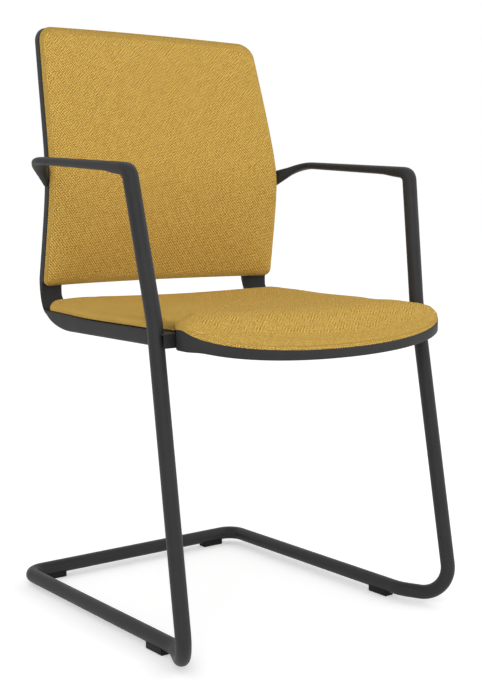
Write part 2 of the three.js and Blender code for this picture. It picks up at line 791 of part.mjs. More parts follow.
// The height of a rail's top, which falls forward of the bend.
function railTop(y) {
  return railTopZ - railTopFall * (1 - clamp((y - railFallStartY) / (railFallEndY - railFallStartY), 0, 1));
}

// A side rail and its strap: a section carried along the rail, round the bend and up into the shell.
// The rail's top meets the strap's front face in a tight inner curve.
function railAndStrap() {
  const level = (y) => ({ under: [y, railBottomZ], over: [y, railTop(y)], blend: 0 });
  const line = [railFrontY, railFallStartY].map(level);
  for (let k = 0; k <= railBendSteps; k++) {
    const share = k / railBendSteps;
    const [along, below] = superQuarter((share * Math.PI) / 2, railBendFullness);
    const under = [bendStartY + railBendLength * along, railBottomZ + railBendHeight * (1 - below)];
    const overY = lerp(bendStartY, innerStartY, Math.min(share / railLevelShare, 1));
    const over = [overY, railTop(overY)];
    if (share > railLevelShare) {
      const innerTurn = ((share - railLevelShare) / (1 - railLevelShare)) * (Math.PI / 2);
      const [innerAlong, innerBelow] = superQuarter(innerTurn, railBendFullness);
      over[0] = innerStartY + strapFootLength * innerAlong;
      over[1] = railTopZ + strapFootHeight * (1 - innerBelow);
    }
    line.push({ under, over, blend: smoothstep(share, railLevelShare, railBlendEndShare) });
  }
  const topZ = railBottomZ + railBendHeight + strapRun;
  line.push({ under: [backY(topZ), topZ], over: [backY(topZ) - strapDepth, topZ], blend: 1 });
  const rings = line.map(({ under, over, blend }) => {
    const across = new THREE.Vector2(over[0] - under[0], over[1] - under[1]);
    const thickness = across.length();
    across.normalize();
    const inner = lerp(railInner, strapInner, blend);
    const outer = lerp(railOuter, strapOuter, blend);
    return sectionRing(inner, outer, thickness).map(([x, rise]) =>
      place(x, under[0] + across.x * rise + blend * bow(x), under[1] + across.y * rise),
    );
  });
  return loft(rings);
}

// A rounded rectangle from inner to outer and from 0 to its thickness, clockwise.
function sectionRing(inner, outer, thickness) {
  const ring = [];
  const corners = [
    [inner + railCorner, thickness - railCorner, Math.PI],
    [outer - railCorner, thickness - railCorner, Math.PI / 2],
    [outer - railCorner, railCorner, 0],
    [inner + railCorner, railCorner, -Math.PI / 2],
  ];
  for (const [x, rise, start] of corners) {
    for (let k = 0; k < 3; k++) {
      const turn = start - (k / 2) * (Math.PI / 2);
      ring.push([x + railCorner * Math.cos(turn), rise + railCorner * Math.sin(turn)]);
    }
  }
  return ring;
}

const armScrewZs = [armRootZ - armScrewSpacing / 2, armRootZ + armScrewSpacing / 2];
const armScrewSeatX = backHalf(armScrewZs[1] + armScrewHeadRadius) - backRim - gap;
const armScrewY = backY(armRootZ) + bow(armScrewSeatX - armScrewHead) - (backDepth + backSkin) / 2;

function backFrame() {
  const strap = railAndStrap();
  let frame = backShell().add(solid(strap)).add(solid(mirrored(strap)));
  for (const side of [-1, 1]) {
    for (const y of railBoltYs) {
      const end = place(side * (railInner + railBoltBite + gap), y, beamMiddleZ);
      const from = place(side * (railInner - overrun), y, beamMiddleZ);
      frame = frame.subtract(solid(pin(railBoltRadius + gap, from, end)));
    }
    for (const z of armScrewZs) {
      const from = place(side * (backHalfLumbar - backRim - overrun), armScrewY, z);
      const end = place(side * (backHalfLumbar + overrun), armScrewY, z);
      frame = frame.subtract(solid(pin(armScrewRadius + gap, from, end)));
    }
  }
  return piece("back_frame", frame, plasticBlack);
}

// Back pad

const boardBack = backDepth + gap;
const boardFront = boardBack + backBoardThickness;

function backBoard() {
  const inset = backPadSkin + gap;
  const profile = [
    ...fill(inset, boardBack),
    { inset, height: boardBack },
    { inset, height: boardFront },
    ...fill(inset, boardFront).reverse(),
  ];
  return piece("back_board", moulding(backOutline, backMiddle, profile, backForm), plywood);
}

// The pad's face beyond its widest line, as shares of its edge's rounding, of the way out from the
// middle and of its height.
const padFaceShares = [
  [0.14, 1, 0.38],
  [0.46, 1, 0.52],
  [1, 1, 0.65],
  [1, 0.92, 0.82],
  [1, 0.8, 0.93],
  [1, 0.55, 1],
  [1, 0.25, 1],
];

// Fabric over foam, wrapped round the board's edge, with a crown that is fullest in the middle.
function backCushion() {
  const rise = (share) => boardBack + backPadHeight * share;
  const profile = [
    ...fill(backPadSkin, boardFront + gap),
    { inset: backPadSkin, height: boardFront + gap },
    { inset: backPadSkin, height: rise(0) },
    { inset: backPadTuck, height: rise(0) },
    { inset: backPadTuck / 4, height: rise(0.07) },
    { height: rise(0.2) },
    ...padFaceShares.map(([roundShare, share, riseShare]) => ({
      inset: backPadRound * roundShare,
      share,
      height: rise(riseShare),
    })),
  ];
  return piece("back_cushion", moulding(backOutline, backMiddle, profile, backForm), fabric);
}

// Push clips hold the board to the shell, square to both.
function backClips(heightShare, i) {
  const z = lerp(backBottomZ, backTopZ, heightShare);
  const reach = clipFlangeRadius;
  const across = heading(backForm(clipX - reach, z, 0), backForm(clipX + reach, z, 0));
  const rise = heading(backForm(clipX, z - reach, 0), backForm(clipX, z + reach, 0));
  const forward = across.cross(rise).normalize();
  const length = (boardBack - backSkin) * Math.abs(forward.y) - 2 * clipSlack;
  const profile = [
    [0, 0],
    [clipRadius, 0],
    [clipRadius, length - clipFlange],
    [clipFlangeRadius, length - clipFlange],
    [clipFlangeRadius, length],
    [0, length],
  ];
  const seat = backForm(clipX, z, backSkin).addScaledVector(forward, clipSlack);
  return pair("back_clip_" + (i + 1), turned(profile, seat, forward), plasticBlack);
}

// Arms

const legTop = halfTube[4].at;
const armRoot = place(backHalf(armRootZ - armRootHalfHeight) + gap, backY(armRootZ) - armRootReach, armRootZ);
const armFrontCorner = legTop.clone().addScaledVector(kneeToTop, armFrontRise);

// The arm grows from a round end on the tube into a flattened armrest, then sweeps in and down and
// deepens to its flat end on the frame's side.
function armBody() {
  const start = legTop.clone().addScaledVector(kneeToTop, gap);
  const rear = place(armFrontCorner.x, armRearY, armFrontCorner.z + armRearRise);
  const inside = armRoot.clone().addScaledVector(heading(rear, armRoot), overrun);
  const path = bentPath([
    { at: start },
    { at: armFrontCorner, radius: armFrontRadius },
    { at: rear, radius: armRearRadius },
    { at: inside },
  ]);
  const restLength = armFrontCorner.distanceTo(rear);
  const frontEnd = path.findIndex(({ at }) => at.distanceTo(rear) < restLength - armFrontRadius);
  const sweep = path[frontEnd].at.distanceTo(inside);
  const rings = path.map(({ at, along }, i) => {
    const toRest = smoothstep(i, 1, frontEnd);
    const toRear = clamp((at.y - armFrontCorner.y) / restLength, 0, 1);
    const toRoot = i > frontEnd ? (1 - at.distanceTo(inside) / sweep) ** armFlarePower : 0;
    const restThickness = lerp(armFrontHalfThickness, armRearHalfThickness, toRear);
    const across = lerp(lerp(tubeRadius, armHalfWidth, toRest), armRootHalfDepth, toRoot);
    const upright = lerp(lerp(tubeRadius, restThickness, toRest), armRootHalfHeight, toRoot);
    const fullness = lerp(2, armFullness, toRest);
    const guide = i < frontEnd ? sideways.clone() : along.clone().cross(up);
    const side = guide.addScaledVector(along, -guide.dot(along)).normalize();
    const crown = side.clone().cross(along).normalize();
    return ovalRing(at, side, crown, across, upright, fullness);
  });
  return solid(loft(rings));
}

// A superellipse ring round a place, turning from its crown to its side.
function ovalRing(at, side, crown, across, upright, fullness) {
  const ring = [];
  for (let k = 0; k < armSides; k++) {
    const turn = (k / armSides) * 2 * Math.PI;
    const [out, high] = superQuarter(turn, fullness);
    const a = across * out * Math.sign(Math.sin(turn));
    const b = upright * high * Math.sign(Math.cos(turn));
    ring.push(at.clone().addScaledVector(side, a).addScaledVector(crown, b));
  }
  return ring;
}

function arms() {
  const socketEnd = legTop.clone().addScaledVector(kneeToTop, armSocketDepth + gap);
  const socketStart = legTop.clone().addScaledVector(kneeToTop, -overrun);
  const cutReach = place(0, armHalfWidth + armRootHalfHeight, armHalfWidth + armRootHalfHeight);
  const innerEnd = armRoot.clone().sub(cutReach);
  const beyond = block(innerEnd.setX(backHalfLumbar - armRootHalfHeight), armRoot.clone().add(cutReach));
  let arm = armBody().subtract(solid(beyond));
  arm = arm.subtract(solid(pin(tubeRadius - tubeWall, socketStart, socketEnd)));
  for (const z of armScrewZs) {
    const from = place(armRoot.x - overrun, armScrewY, z);
    const end = place(armRoot.x + armScrewBite + gap, armScrewY, z);
    arm = arm.subtract(solid(pin(armScrewRadius + gap, from, end)));
  }
  return pair("arm", arm, plasticBlack);
}

// The plug joins an arm to the tube's open end.
function armPlugs() {
  const from = legTop.clone().addScaledVector(kneeToTop, -plugBelow);
  const to = legTop.clone().addScaledVector(kneeToTop, armSocketDepth);
  return pair("arm_plug", pin(tubeRadius - tubeWall - gap, from, to), zincSteel);
}

function armScrews(z, i) {
  const seat = place(armScrewSeatX, armScrewY, z);
  const length = armRoot.x + armScrewBite - seat.x;
  const form = screw(armScrewHeadRadius, armScrewHead, armScrewRadius, length, seat, sideways);
  return pair("arm_screw_" + (i + 1), form, zincSteel);
}

// The chair

const chair = new THREE.Group();
chair.add(sledTube(), seatBeam(), ...supportBars(), rearCrossBar());
chair.add(seatPan(), seatBoard(), seatCushion());
chair.add(backFrame(), backBoard(), backCushion());
chair.add(...arms(), ...armPlugs());
chair.add(...glidePlaces.map(glide), ...glidePlaces.map(glideScrew));
chair.add(...railBoltYs.flatMap(railBolts), ...seatScrewYs.flatMap(seatScrews));
chair.add(...armScrewZs.flatMap(armScrews), ...clipHeightShares.flatMap(backClips));

// The origin lies on the floor, midway between the rearmost tube and the seat's front.
const rearmost = rearBarY + tubeRadius;
const foremost = frontStartY - frontReach;
chair.position.y = -(rearmost + foremost) / 2;

export default chair;
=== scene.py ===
import math

import bmesh
import bpy
import numpy as np
from mathutils import Matrix, Vector


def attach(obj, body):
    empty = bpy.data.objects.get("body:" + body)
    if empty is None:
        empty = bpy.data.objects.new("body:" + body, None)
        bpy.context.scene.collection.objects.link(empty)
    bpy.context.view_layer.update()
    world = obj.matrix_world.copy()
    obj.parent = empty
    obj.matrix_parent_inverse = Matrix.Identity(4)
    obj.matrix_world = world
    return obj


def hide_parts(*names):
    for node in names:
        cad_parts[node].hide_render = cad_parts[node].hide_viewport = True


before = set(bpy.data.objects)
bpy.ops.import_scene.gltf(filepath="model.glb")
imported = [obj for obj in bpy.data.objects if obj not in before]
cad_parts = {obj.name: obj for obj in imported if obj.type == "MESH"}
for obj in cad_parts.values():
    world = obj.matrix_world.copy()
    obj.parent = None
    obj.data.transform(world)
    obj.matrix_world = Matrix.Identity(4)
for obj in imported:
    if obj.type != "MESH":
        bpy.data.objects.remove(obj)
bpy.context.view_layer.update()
bpy.ops.object.select_all(action="DESELECT")

# Sled tube
# One round steel tube, bent cold and powder coated black, from one arm down the leg, back along the
# floor, across the rear and up to the other arm. Both ends are faced square where the arms join.

TUBE_RADIUS = 0.011
TUBE_SIDES = 40
TUBE_TURN_STEP = math.radians(3)
TUBE_END_CHAMFER = 0.0001
FLOOR_RUN_Z = 0.0176
LEG_KNEE = Vector((0.2431, -0.1652, 0.4661))
LEG_TOP = Vector((0.2549, -0.1362, 0.632))
tube_corners = [  # the centreline's corners on the sitter's left, with the radius that each is bent to
    (Vector((0, 0.2666, FLOOR_RUN_Z)), 0),
    (Vector((0.2117, 0.2666, FLOOR_RUN_Z)), 0.027),
    (Vector((0.2142, -0.1679, FLOOR_RUN_Z)), 0.060),
    (Vector((0.2504, -0.2439, FLOOR_RUN_Z)), 0.043),
    (LEG_KNEE, 0.170),
    (LEG_TOP, 0),
]
COAT_BLACK = (0.023, 0.023, 0.0235)
GLOSS_DRIFT = 0.06  # how far the roughness of a grained finish wanders each way


def alone(piece):
    """Leaves this piece alone selected, and active."""
    bpy.ops.object.select_all(action="DESELECT")
    piece.select_set(True)
    bpy.context.view_layer.objects.active = piece


def apply_modifier(piece, kind, **settings):
    """Adds a modifier with these settings and applies it."""
    alone(piece)
    bpy.ops.object.modifier_add(type=kind)
    modifier = piece.modifiers[-1]
    for setting, value in settings.items():
        setattr(modifier, setting, value)
    bpy.ops.object.modifier_apply(modifier=modifier.name)


def closed_up(piece, smooth_angle=35):
    """Merges doubles, turns every face outwards and shades the piece smooth up to an angle."""
    alone(piece)
    bpy.ops.object.mode_set(mode="EDIT")
    bpy.ops.mesh.select_all(action="SELECT")
    bpy.ops.mesh.remove_doubles(threshold=1e-6)
    bpy.ops.mesh.normals_make_consistent(inside=False)
    bpy.ops.object.mode_set(mode="OBJECT")
    bpy.ops.object.shade_smooth_by_angle(angle=math.radians(smooth_angle))


def finished(piece, finish):
    """Gives a piece this finish and no other."""
    piece.data.materials.clear()
    piece.data.materials.append(finish)


def dressed(piece, finish, slot, *nodes):
    """Finishes a piece that rides on the chair and stands for the plain solids of these names."""
    finished(piece, finish)
    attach(piece, "root")
    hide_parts(*nodes)


def tuned(made, **sockets):
    """Sets a node's sockets by their names, written with _ for a space."""
    for socket, value in sockets.items():
        made.inputs[socket.replace("_", " ")].default_value = value
    return made


def finish_of(name, colour, roughness, **sockets):
    """A material with this colour and roughness, its node tree and its shader."""
    finish = bpy.data.materials.new(name)
    finish.use_nodes = True
    shader = finish.node_tree.nodes["Principled BSDF"]
    tuned(shader, Base_Color=(*colour, 1), Roughness=roughness, **sockets)
    return finish, finish.node_tree, shader


def node(tree, kind, *inputs, **settings):
    """A node with these settings, its inputs set or linked in order; None leaves an input alone."""
    made = tree.nodes.new("ShaderNode" + kind)
    for setting, value in settings.items():
        setattr(made, setting, value)
    for socket, value in zip(made.inputs, inputs):
        if isinstance(value, bpy.types.NodeSocket):
            tree.links.new(value, socket)
        elif value is not None:
            socket.default_value = value
    return made


def object_place(tree):
    return node(tree, "TexCoord").outputs["Object"]


def noise(tree, place, scale, detail):
    made = node(tree, "TexNoise", place)
    return tuned(made, Scale=scale, Detail=detail).outputs["Fac"]


def bumped(tree, shader, height, strength, depth):
    """Raises the surface by a height pattern, this many metres deep."""
    bump = tuned(node(tree, "Bump"), Strength=strength, Distance=depth)
    tree.links.new(height, bump.inputs["Height"])
    tree.links.new(bump.outputs["Normal"], shader.inputs["Normal"])


def colour_ramp(tree, factor, stops):
    """A ramp through (place, colour) stops."""
    ramp = node(tree, "ValToRGB", factor)
    elements = ramp.color_ramp.elements
    while len(elements) < len(stops):
        elements.new(0.5)
    for element, (place, colour) in zip(elements, stops):
        element.position = place
        element.color = (*colour, 1)
    return ramp.outputs["Color"]


def grained(tree, shader, colour, spread, scale, depth):
    """Fine moulded or sprayed grain: a bump, a little colour drift and uneven gloss."""
    place = object_place(tree)
    grain = noise(tree, place, scale, detail=3)
    bumped(tree, shader, grain, strength=0.6, depth=depth)
    drift = noise(tree, place, scale / 40, detail=4)
    dark = [channel * (1 - spread) for channel in colour]
    light = [channel * (1 + spread) for channel in colour]
    mixed = node(tree, "Math", grain, drift, operation="MULTIPLY").outputs[0]
    tree.links.new(colour_ramp(tree, mixed, [(0.15, dark), (0.35, light)]), shader.inputs["Base Color"])
    rough = shader.inputs["Roughness"].default_value
    gloss = node(tree, "MapRange", drift, 0.3, 0.7, rough - GLOSS_DRIFT, rough + GLOSS_DRIFT)
    tree.links.new(gloss.outputs[0], shader.inputs["Roughness"])


def bend_at(before, corner, after, bend):
    """The direction before a corner, and its bend's angle, start, end, centre and axis."""
    coming, going = (corner - before).normalized(), (after - corner).normalized()
    turn = coming.angle(going)
    start = corner - coming * bend * math.tan(turn / 2)
    end = corner + going * bend * math.tan(turn / 2)
    axis = coming.cross(going).normalized()
    return coming, turn, start, end, start + axis.cross(coming) * bend, axis


def bent_tube(name, corners, radius, sides, turn_step):
    """Draws a circle out along the straight runs and spins it round each bend."""
    places = [place for place, bend in corners]
    away = (places[1] - places[0]).normalized()
    bpy.ops.object.select_all(action="DESELECT")
    bpy.ops.mesh.primitive_circle_add(
        vertices=sides,
        radius=radius,
        location=places[0],
        rotation=away.to_track_quat("Z", "Y").to_euler(),
    )
    tube = bpy.context.object
    tube.name = tube.data.name = name
    bpy.ops.object.transform_apply(location=True, rotation=True, scale=True)
    bpy.ops.object.mode_set(mode="EDIT")
    bpy.ops.mesh.select_all(action="SELECT")
    end = places[0]
    for (before, _), (corner, bend), (after, _) in zip(corners, corners[1:], corners[2:]):
        _, turn, start, bend_end, centre, axis = bend_at(before, corner, after, bend)
        bpy.ops.mesh.extrude_region_move(TRANSFORM_OT_translate={"value": start - end})
        # A spin counts its angle the other way round from a rotation.
        bpy.ops.mesh.spin(steps=math.ceil(turn / turn_step), angle=-turn, center=centre, axis=axis)
        end = bend_end
    along = (places[-1] - end).normalized()
    chamfer_start = places[-1] - along * TUBE_END_CHAMFER
    bpy.ops.mesh.extrude_region_move(TRANSFORM_OT_translate={"value": chamfer_start - end})
    bpy.ops.mesh.extrude_region_move(TRANSFORM_OT_translate={"value": along * TUBE_END_CHAMFER})
    slimmer = 1 - TUBE_END_CHAMFER / radius
    bpy.ops.transform.resize(value=(slimmer, slimmer, slimmer), center_override=places[-1])
    bpy.ops.mesh.edge_face_add()
    bpy.ops.object.mode_set(mode="OBJECT")
    return tube


powder_coat, coat_tree, coat_shader = finish_of(
    "powder_coat", COAT_BLACK, roughness=0.5, Specular_IOR_Level=0.24
)
grained(coat_tree, coat_shader, COAT_BLACK, spread=0.16, scale=900, depth=0.0004)

sled_tube = bent_tube("sled_tube_bent", tube_corners, TUBE_RADIUS, TUBE_SIDES, TUBE_TURN_STEP)
apply_modifier(sled_tube, "MIRROR", use_axis=(True, False, False), merge_threshold=1e-5)
closed_up(sled_tube)
dressed(sled_tube, powder_coat, "coated_steel", "sled_tube")

# Floor glides
# Four moulded nylon blocks that keep the steel off the floor. Each cradles the tube in a round
# saddle, is screwed up into it from below and slopes up at one end of its flat foot.

GLIDE_LENGTH, GLIDE_WIDTH, GLIDE_HEIGHT = 0.038, 0.018, 0.015
GLIDE_FIT = 0.0003
GLIDE_TOE, GLIDE_TOE_RISE = 0.010, 0.0058
GLIDE_EDGE_SLOPE = 0.0015
GLIDE_EDGE = 0.0008
GLIDE_RECESS_RADIUS, GLIDE_RECESS_TOP, GLIDE_RECESS_SHIFT = 0.0043, 0.0040, 0.004
# The glides' black is darker than the other plastics because painted shade stands in for the shadow
# under the chair, not the nylon's own colour.
GLIDE_BLACK_PAINTED_SHADE = (0.009, 0.009, 0.0095)
QUARTER_TURN = math.pi / 2
glide_places = {  # the middle of each foot on the floor and how far it is turned
    "front_left": (0.21398, -0.1249, 0),
    "front_right": (-0.21398, -0.1249, 0),
    "rear_left": (0.162, 0.2666, -QUARTER_TURN),
    "rear_right": (-0.162, 0.2666, QUARTER_TURN),
}


def cut_by(piece, cutter, operation="DIFFERENCE"):
    """Cuts a piece with another, or joins it on, and removes the cutter."""
    apply_modifier(piece, "BOOLEAN", operation=operation, solver="EXACT", object=cutter)
    bpy.data.objects.remove(cutter)


def rod(radius, depth, place, turn=(0, 0, 0), sides=32):
    """A round pin, or the cutter for its hole."""
    bpy.ops.object.select_all(action="DESELECT")
    bpy.ops.mesh.primitive_cylinder_add(
        vertices=sides, radius=radius, depth=depth, location=place, rotation=turn
    )
    bpy.ops.object.transform_apply(location=True, rotation=True, scale=True)
    return bpy.context.object


def round_edges(piece, width, past_angle):
    """Rounds every edge whose faces meet at more than this angle."""
    angle = math.radians(past_angle)
    apply_modifier(piece, "BEVEL", width=width, segments=2, limit_method="ANGLE", angle_limit=angle)


def bevel_where(piece, wanted, offset, segments):
    """Bevels the edges whose middle and direction the test accepts."""
    alone(piece)
    bpy.ops.object.mode_set(mode="EDIT")
    bpy.ops.mesh.select_mode(type="EDGE")
    bpy.ops.mesh.select_all(action="DESELECT")
    edges = bmesh.from_edit_mesh(piece.data)
    for edge in edges.edges:
        first, second = (vertex.co for vertex in edge.verts)
        edge.select_set(wanted((first + second) / 2, (second - first).normalized()))
    bmesh.update_edit_mesh(piece.data)
    bpy.ops.mesh.bevel(offset=offset, segments=segments, affect="EDGES")
    bpy.ops.mesh.select_mode(type="VERT")
    bpy.ops.object.mode_set(mode="OBJECT")


def copy_of(piece, name, **placing):
    """A copy with its own mesh, in which it is turned, moved or mirrored."""
    alone(piece)
    bpy.ops.object.duplicate()
    copy = bpy.context.object
    copy.name = copy.data.name = name
    for setting, value in placing.items():
        setattr(copy, setting, value)
    bpy.ops.object.transform_apply(location=True, rotation=True, scale=True)
    return copy


glide_nylon, glide_tree, glide_shader = finish_of(
    "glide_nylon", GLIDE_BLACK_PAINTED_SHADE, roughness=0.6, Specular_IOR_Level=0.15
)
grained(glide_tree, glide_shader, GLIDE_BLACK_PAINTED_SHADE, spread=0.12, scale=1100, depth=0.0002)

bpy.ops.mesh.primitive_cube_add(size=1, location=(0, 0, GLIDE_HEIGHT / 2))
glide_pattern = bpy.context.object
glide_pattern.scale = (GLIDE_WIDTH, GLIDE_LENGTH, GLIDE_HEIGHT)
bpy.ops.object.transform_apply(location=True, rotation=True, scale=True)
bpy.ops.object.mode_set(mode="EDIT")
bpy.ops.mesh.select_all(action="SELECT")
bpy.ops.mesh.bisect(
    plane_co=(0, GLIDE_TOE - GLIDE_LENGTH / 2, 0),
    plane_no=(0, GLIDE_TOE_RISE, GLIDE_TOE),
    clear_inner=True,
    use_fill=True,
)
bpy.ops.object.mode_set(mode="OBJECT")
bevel_where(
    glide_pattern, lambda middle, along: middle.z < 1e-5 and abs(along.y) > 0.9, GLIDE_EDGE_SLOPE, 1
)
saddle = rod(
    TUBE_RADIUS + GLIDE_FIT, 2 * GLIDE_LENGTH, (0, 0, FLOOR_RUN_Z), (QUARTER_TURN, 0, 0), sides=64
)
cut_by(glide_pattern, saddle)
cut_by(glide_pattern, rod(GLIDE_RECESS_RADIUS, 2 * GLIDE_RECESS_TOP, (0, -GLIDE_RECESS_SHIFT, 0)))
round_edges(glide_pattern, GLIDE_EDGE, past_angle=32)
for glide_name, (x, y, turn) in glide_places.items():
    glide = copy_of(
        glide_pattern, "glide_" + glide_name + "_block", rotation_euler=(0, 0, turn), location=(x, y, 0)
    )
    closed_up(glide, smooth_angle=30)
    dressed(glide, glide_nylon, "glide_plastic", "glide_" + glide_name)
bpy.data.objects.remove(glide_pattern)

# Fasteners
# Zinc plated screws and bolts, and the steel plugs in the tube's ends. Only the heads under the seat
# and in the glides can be seen.

ZINC = (0.56, 0.57, 0.60)
zinc_plate, zinc_tree, zinc_shader = finish_of("zinc_plate", ZINC, roughness=0.36, Metallic=1)
grained(zinc_tree, zinc_shader, ZINC, spread=0.08, scale=1500, depth=0.00008)
for name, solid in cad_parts.items():
    if any(word in name for word in ("screw", "bolt", "plug")):
        finished(solid, zinc_plate)

# Seat support
# A box tube welded between the legs, two more running back from it under the seat and a cross bar,
# coated with the sled tube in one go. The beam's ends are coped round the legs.

for name in (
    "seat_cross_beam",
    "seat_support_bar_left",
    "seat_support_bar_right",
    "seat_rear_cross_bar",
):
    finished(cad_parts[name], powder_coat)

# Boards and clips
# Pressed boards carry the foam of seat and back, and nylon push clips hold the back's board.
# They are inside the upholstery.

PLY, PLY_DARK, PLY_LIGHT = (0.45, 0.28, 0.13), (0.33, 0.19, 0.08), (0.55, 0.36, 0.18)
PLY_STRETCH = (60, 3, 400)  # waves per metre: long along the grain and thin through the layers
plywood, ply_tree, ply_shader = finish_of("pressed_board", PLY, roughness=0.75)
ply_place = tuned(node(ply_tree, "Mapping", object_place(ply_tree)), Scale=PLY_STRETCH).outputs[0]
ply_rings = noise(ply_tree, ply_place, scale=1.0, detail=5)
ply_colour = colour_ramp(ply_tree, ply_rings, [(0.35, PLY_DARK), (0.65, PLY_LIGHT)])
ply_tree.links.new(ply_colour, ply_shader.inputs["Base Color"])
for name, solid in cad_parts.items():
    if "board" in name or "clip" in name:
        finished(solid, plywood if "board" in name else glide_nylon)

# Seat pan
# A shallow black moulding under the seat. Its lip shows round the rounded front, falls with it and
# steps in beside each leg, from where the wall stops below the cushion and lies inside the side rail.

PAN_FLOOR_Z, PAN_WALL, PAN_EDGE = 0.4315, 0.0025, 0.003
LIP_TOP_Z = 0.4606
SEAT_FRONT_HALF = 0.2305
SEAT_FRONT_START, SEAT_FRONT_REACH, SEAT_FRONT_FULLNESS = -0.2127, 0.0637, 2.1
LIP_TOP_DROP, LIP_FOOT_DROP, LIP_FOOT_START = 0.0340, 0.0188, 0.35
NOTCH_FRONT, NOTCH_REAR = -0.1999, -0.1619
SIDE_STEP_FRONT, SIDE_STEP_REAR = -0.1399, -0.1159  # where the seat widens again behind the leg
SEAT_MIDDLE = (0, -0.05575)
PAN_HALF, PAN_REAR, PAN_REAR_RADIUS = 0.2037, 0.1501, 0.006
CUSHION_BOTTOM_Z = 0.4590
BEAM_Y, BEAM_HALF_DEPTH, BEAM_BOTTOM_Z, BEAM_TOP_Z = -0.1691, 0.019, 0.4343, 0.4533
FIT_GAP = 0.0003  # left between pieces that meet
PAST_PAN_X, PAST_PAN_Y, PAST_PAN_Z = 0.25, 0.16, 0.47
FALL_SOFTNESS = 0.12
ROUNDED_EDGE = ((1, 0), (0.5, 0.13), (0.13, 0.5), (0, 1))  # way in and way up, in radii
PLASTIC_BLACK = (0.023, 0.023, 0.0235)


def mapped(value, low, high, to_low, to_high):
    """Carries a value over from one range to another."""
    return to_low + (value - low) / (high - low) * (to_high - to_low)


def eased(value, low, high):
    """0 before low, 1 past high and a smooth rise between."""
    share = min(max((value - low) / (high - low), 0), 1)
    return share * share * (3 - 2 * share)


def super_quarter(turn, fullness):
    """A quarter of a superellipse from (0, 1) at turn 0 to (1, 0) at a right angle."""
    return abs(math.sin(turn)) ** (2 / fullness), abs(math.cos(turn)) ** (2 / fullness)


def both_halves(half):
    """Half an outline, from its low middle to its high middle, as the whole outline."""
    return half + [(-a, b) for a, b in reversed(half[1:-1])]


def seat_outline(front_inset, notch_half, side_half, rear_y, rear_radius):
    """The seat's plan: a rounded front, a step in beside each leg and straight sides."""
    front, reach = SEAT_FRONT_HALF - front_inset, SEAT_FRONT_REACH - front_inset
    half = []
    for k in range(45):
        out, forward = super_quarter(k / 44 * math.pi / 2, SEAT_FRONT_FULLNESS)
        half.append((front * out, SEAT_FRONT_START - reach * forward))
    for k in range(1, 13):
        y = mapped(k, 0, 12, NOTCH_FRONT, NOTCH_REAR)
        half.append((front + (notch_half - front) * eased(y, NOTCH_FRONT, NOTCH_REAR), y))
    for k in range(9):
        y = mapped(k, 0, 8, SIDE_STEP_FRONT, SIDE_STEP_REAR)
        widened = eased(y, SIDE_STEP_FRONT, SIDE_STEP_REAR)
        half.append((notch_half + (side_half - notch_half) * widened, y))
    side_end = rear_y - rear_radius
    for k in range(1, 16):
        half.append((side_half, mapped(k, 0, 16, SIDE_STEP_REAR, side_end)))
    for k in range(9):
        turn = k / 8 * math.pi / 2
        x = side_half - rear_radius * (1 - math.cos(turn))
        half.append((x, side_end + rear_radius * math.sin(turn)))
    for k in range(1, 13):
        half.append(((side_half - rear_radius) * (1 - k / 12), rear_y))
    return both_halves(half)


def soft_ramp(value):
    """0 well below 0 and the value itself well above it, with a soft bend between."""
    return (value + math.hypot(value, FALL_SOFTNESS)) / 2


def seat_form(x, y, height):
    """The seat's layers fall together towards the front, the lip's top further than its foot."""
    forward = (SEAT_FRONT_START - y) / SEAT_FRONT_REACH
    top_drop = LIP_TOP_DROP * soft_ramp(forward)
    foot_drop = LIP_FOOT_DROP * soft_ramp((forward - LIP_FOOT_START) / (1 - LIP_FOOT_START))
    share = min(max((height - PAN_FLOOR_Z) / (LIP_TOP_Z - PAN_FLOOR_Z), 0), 1)
    return Vector((x, y, height - foot_drop - (top_drop - foot_drop) * share))


def drawn_in(outline, inset):
    """An outline moved in by a distance along its corners' mitres."""
    moved = []
    for i, (a, b) in enumerate(outline):
        (a0, b0), (a1, b1) = outline[i - 1], outline[(i + 1) % len(outline)]
        before, after = Vector((b - b0, a0 - a)), Vector((b1 - b, a - a1))
        before = before.normalized() if before.length > 1e-9 else after.normalized()
        after = after.normalized() if after.length > 1e-9 else before
        reach = inset / (1 + before.dot(after))
        moved.append((a - (before.x + after.x) * reach, b - (before.y + after.y) * reach))
    return moved


def moulding_rings(outline, middle, profile, form):
    """Rings that follow the outline, each drawn in by an inset, shrunk by a share, at a height.

    A step of the profile with an outline of its own follows that one."""
    return [
        [
            form(middle[0] + (a - middle[0]) * share, middle[1] + (b - middle[1]) * share, height)
            for a, b in drawn_in(own[0] if own else outline, inset)
        ]
        for inset, share, height, *own in profile
    ]


def lofted(name, rings):
    """A circle laid on the first ring, extruded from ring to ring and closed at both ends."""
    ends = [[sum(ring, Vector()) / len(ring)] * len(ring) for ring in (rings[0], rings[-1])]
    bpy.ops.object.select_all(action="DESELECT")
    bpy.ops.mesh.primitive_circle_add(vertices=len(rings[0]))
    piece = bpy.context.object
    piece.name = piece.data.name = name
    bpy.ops.object.mode_set(mode="EDIT")
    for i, ring in enumerate([ends[0], *rings, ends[1]]):
        if i:
            bpy.ops.mesh.extrude_region()
        mesh = bmesh.from_edit_mesh(piece.data)
        for vertex, place in zip([v for v in mesh.verts if v.select], ring):
            vertex.co = place
    bmesh.update_edit_mesh(piece.data)
    bpy.ops.object.mode_set(mode="OBJECT")
    closed_up(piece)
    return piece


def block(low, high):
    """A box between two corners, for cutting."""
    low, high = Vector(low), Vector(high)
    bpy.ops.object.select_all(action="DESELECT")
    bpy.ops.mesh.primitive_cube_add(size=1, location=(low + high) / 2)
    bpy.context.object.scale = high - low
    bpy.ops.object.transform_apply(location=True, rotation=True, scale=True)
    return bpy.context.object


def fill(shares, inset, height):
    """A flat floor or face: steps that shrink towards the middle at one height."""
    return [(inset, share, height) for share in shares]


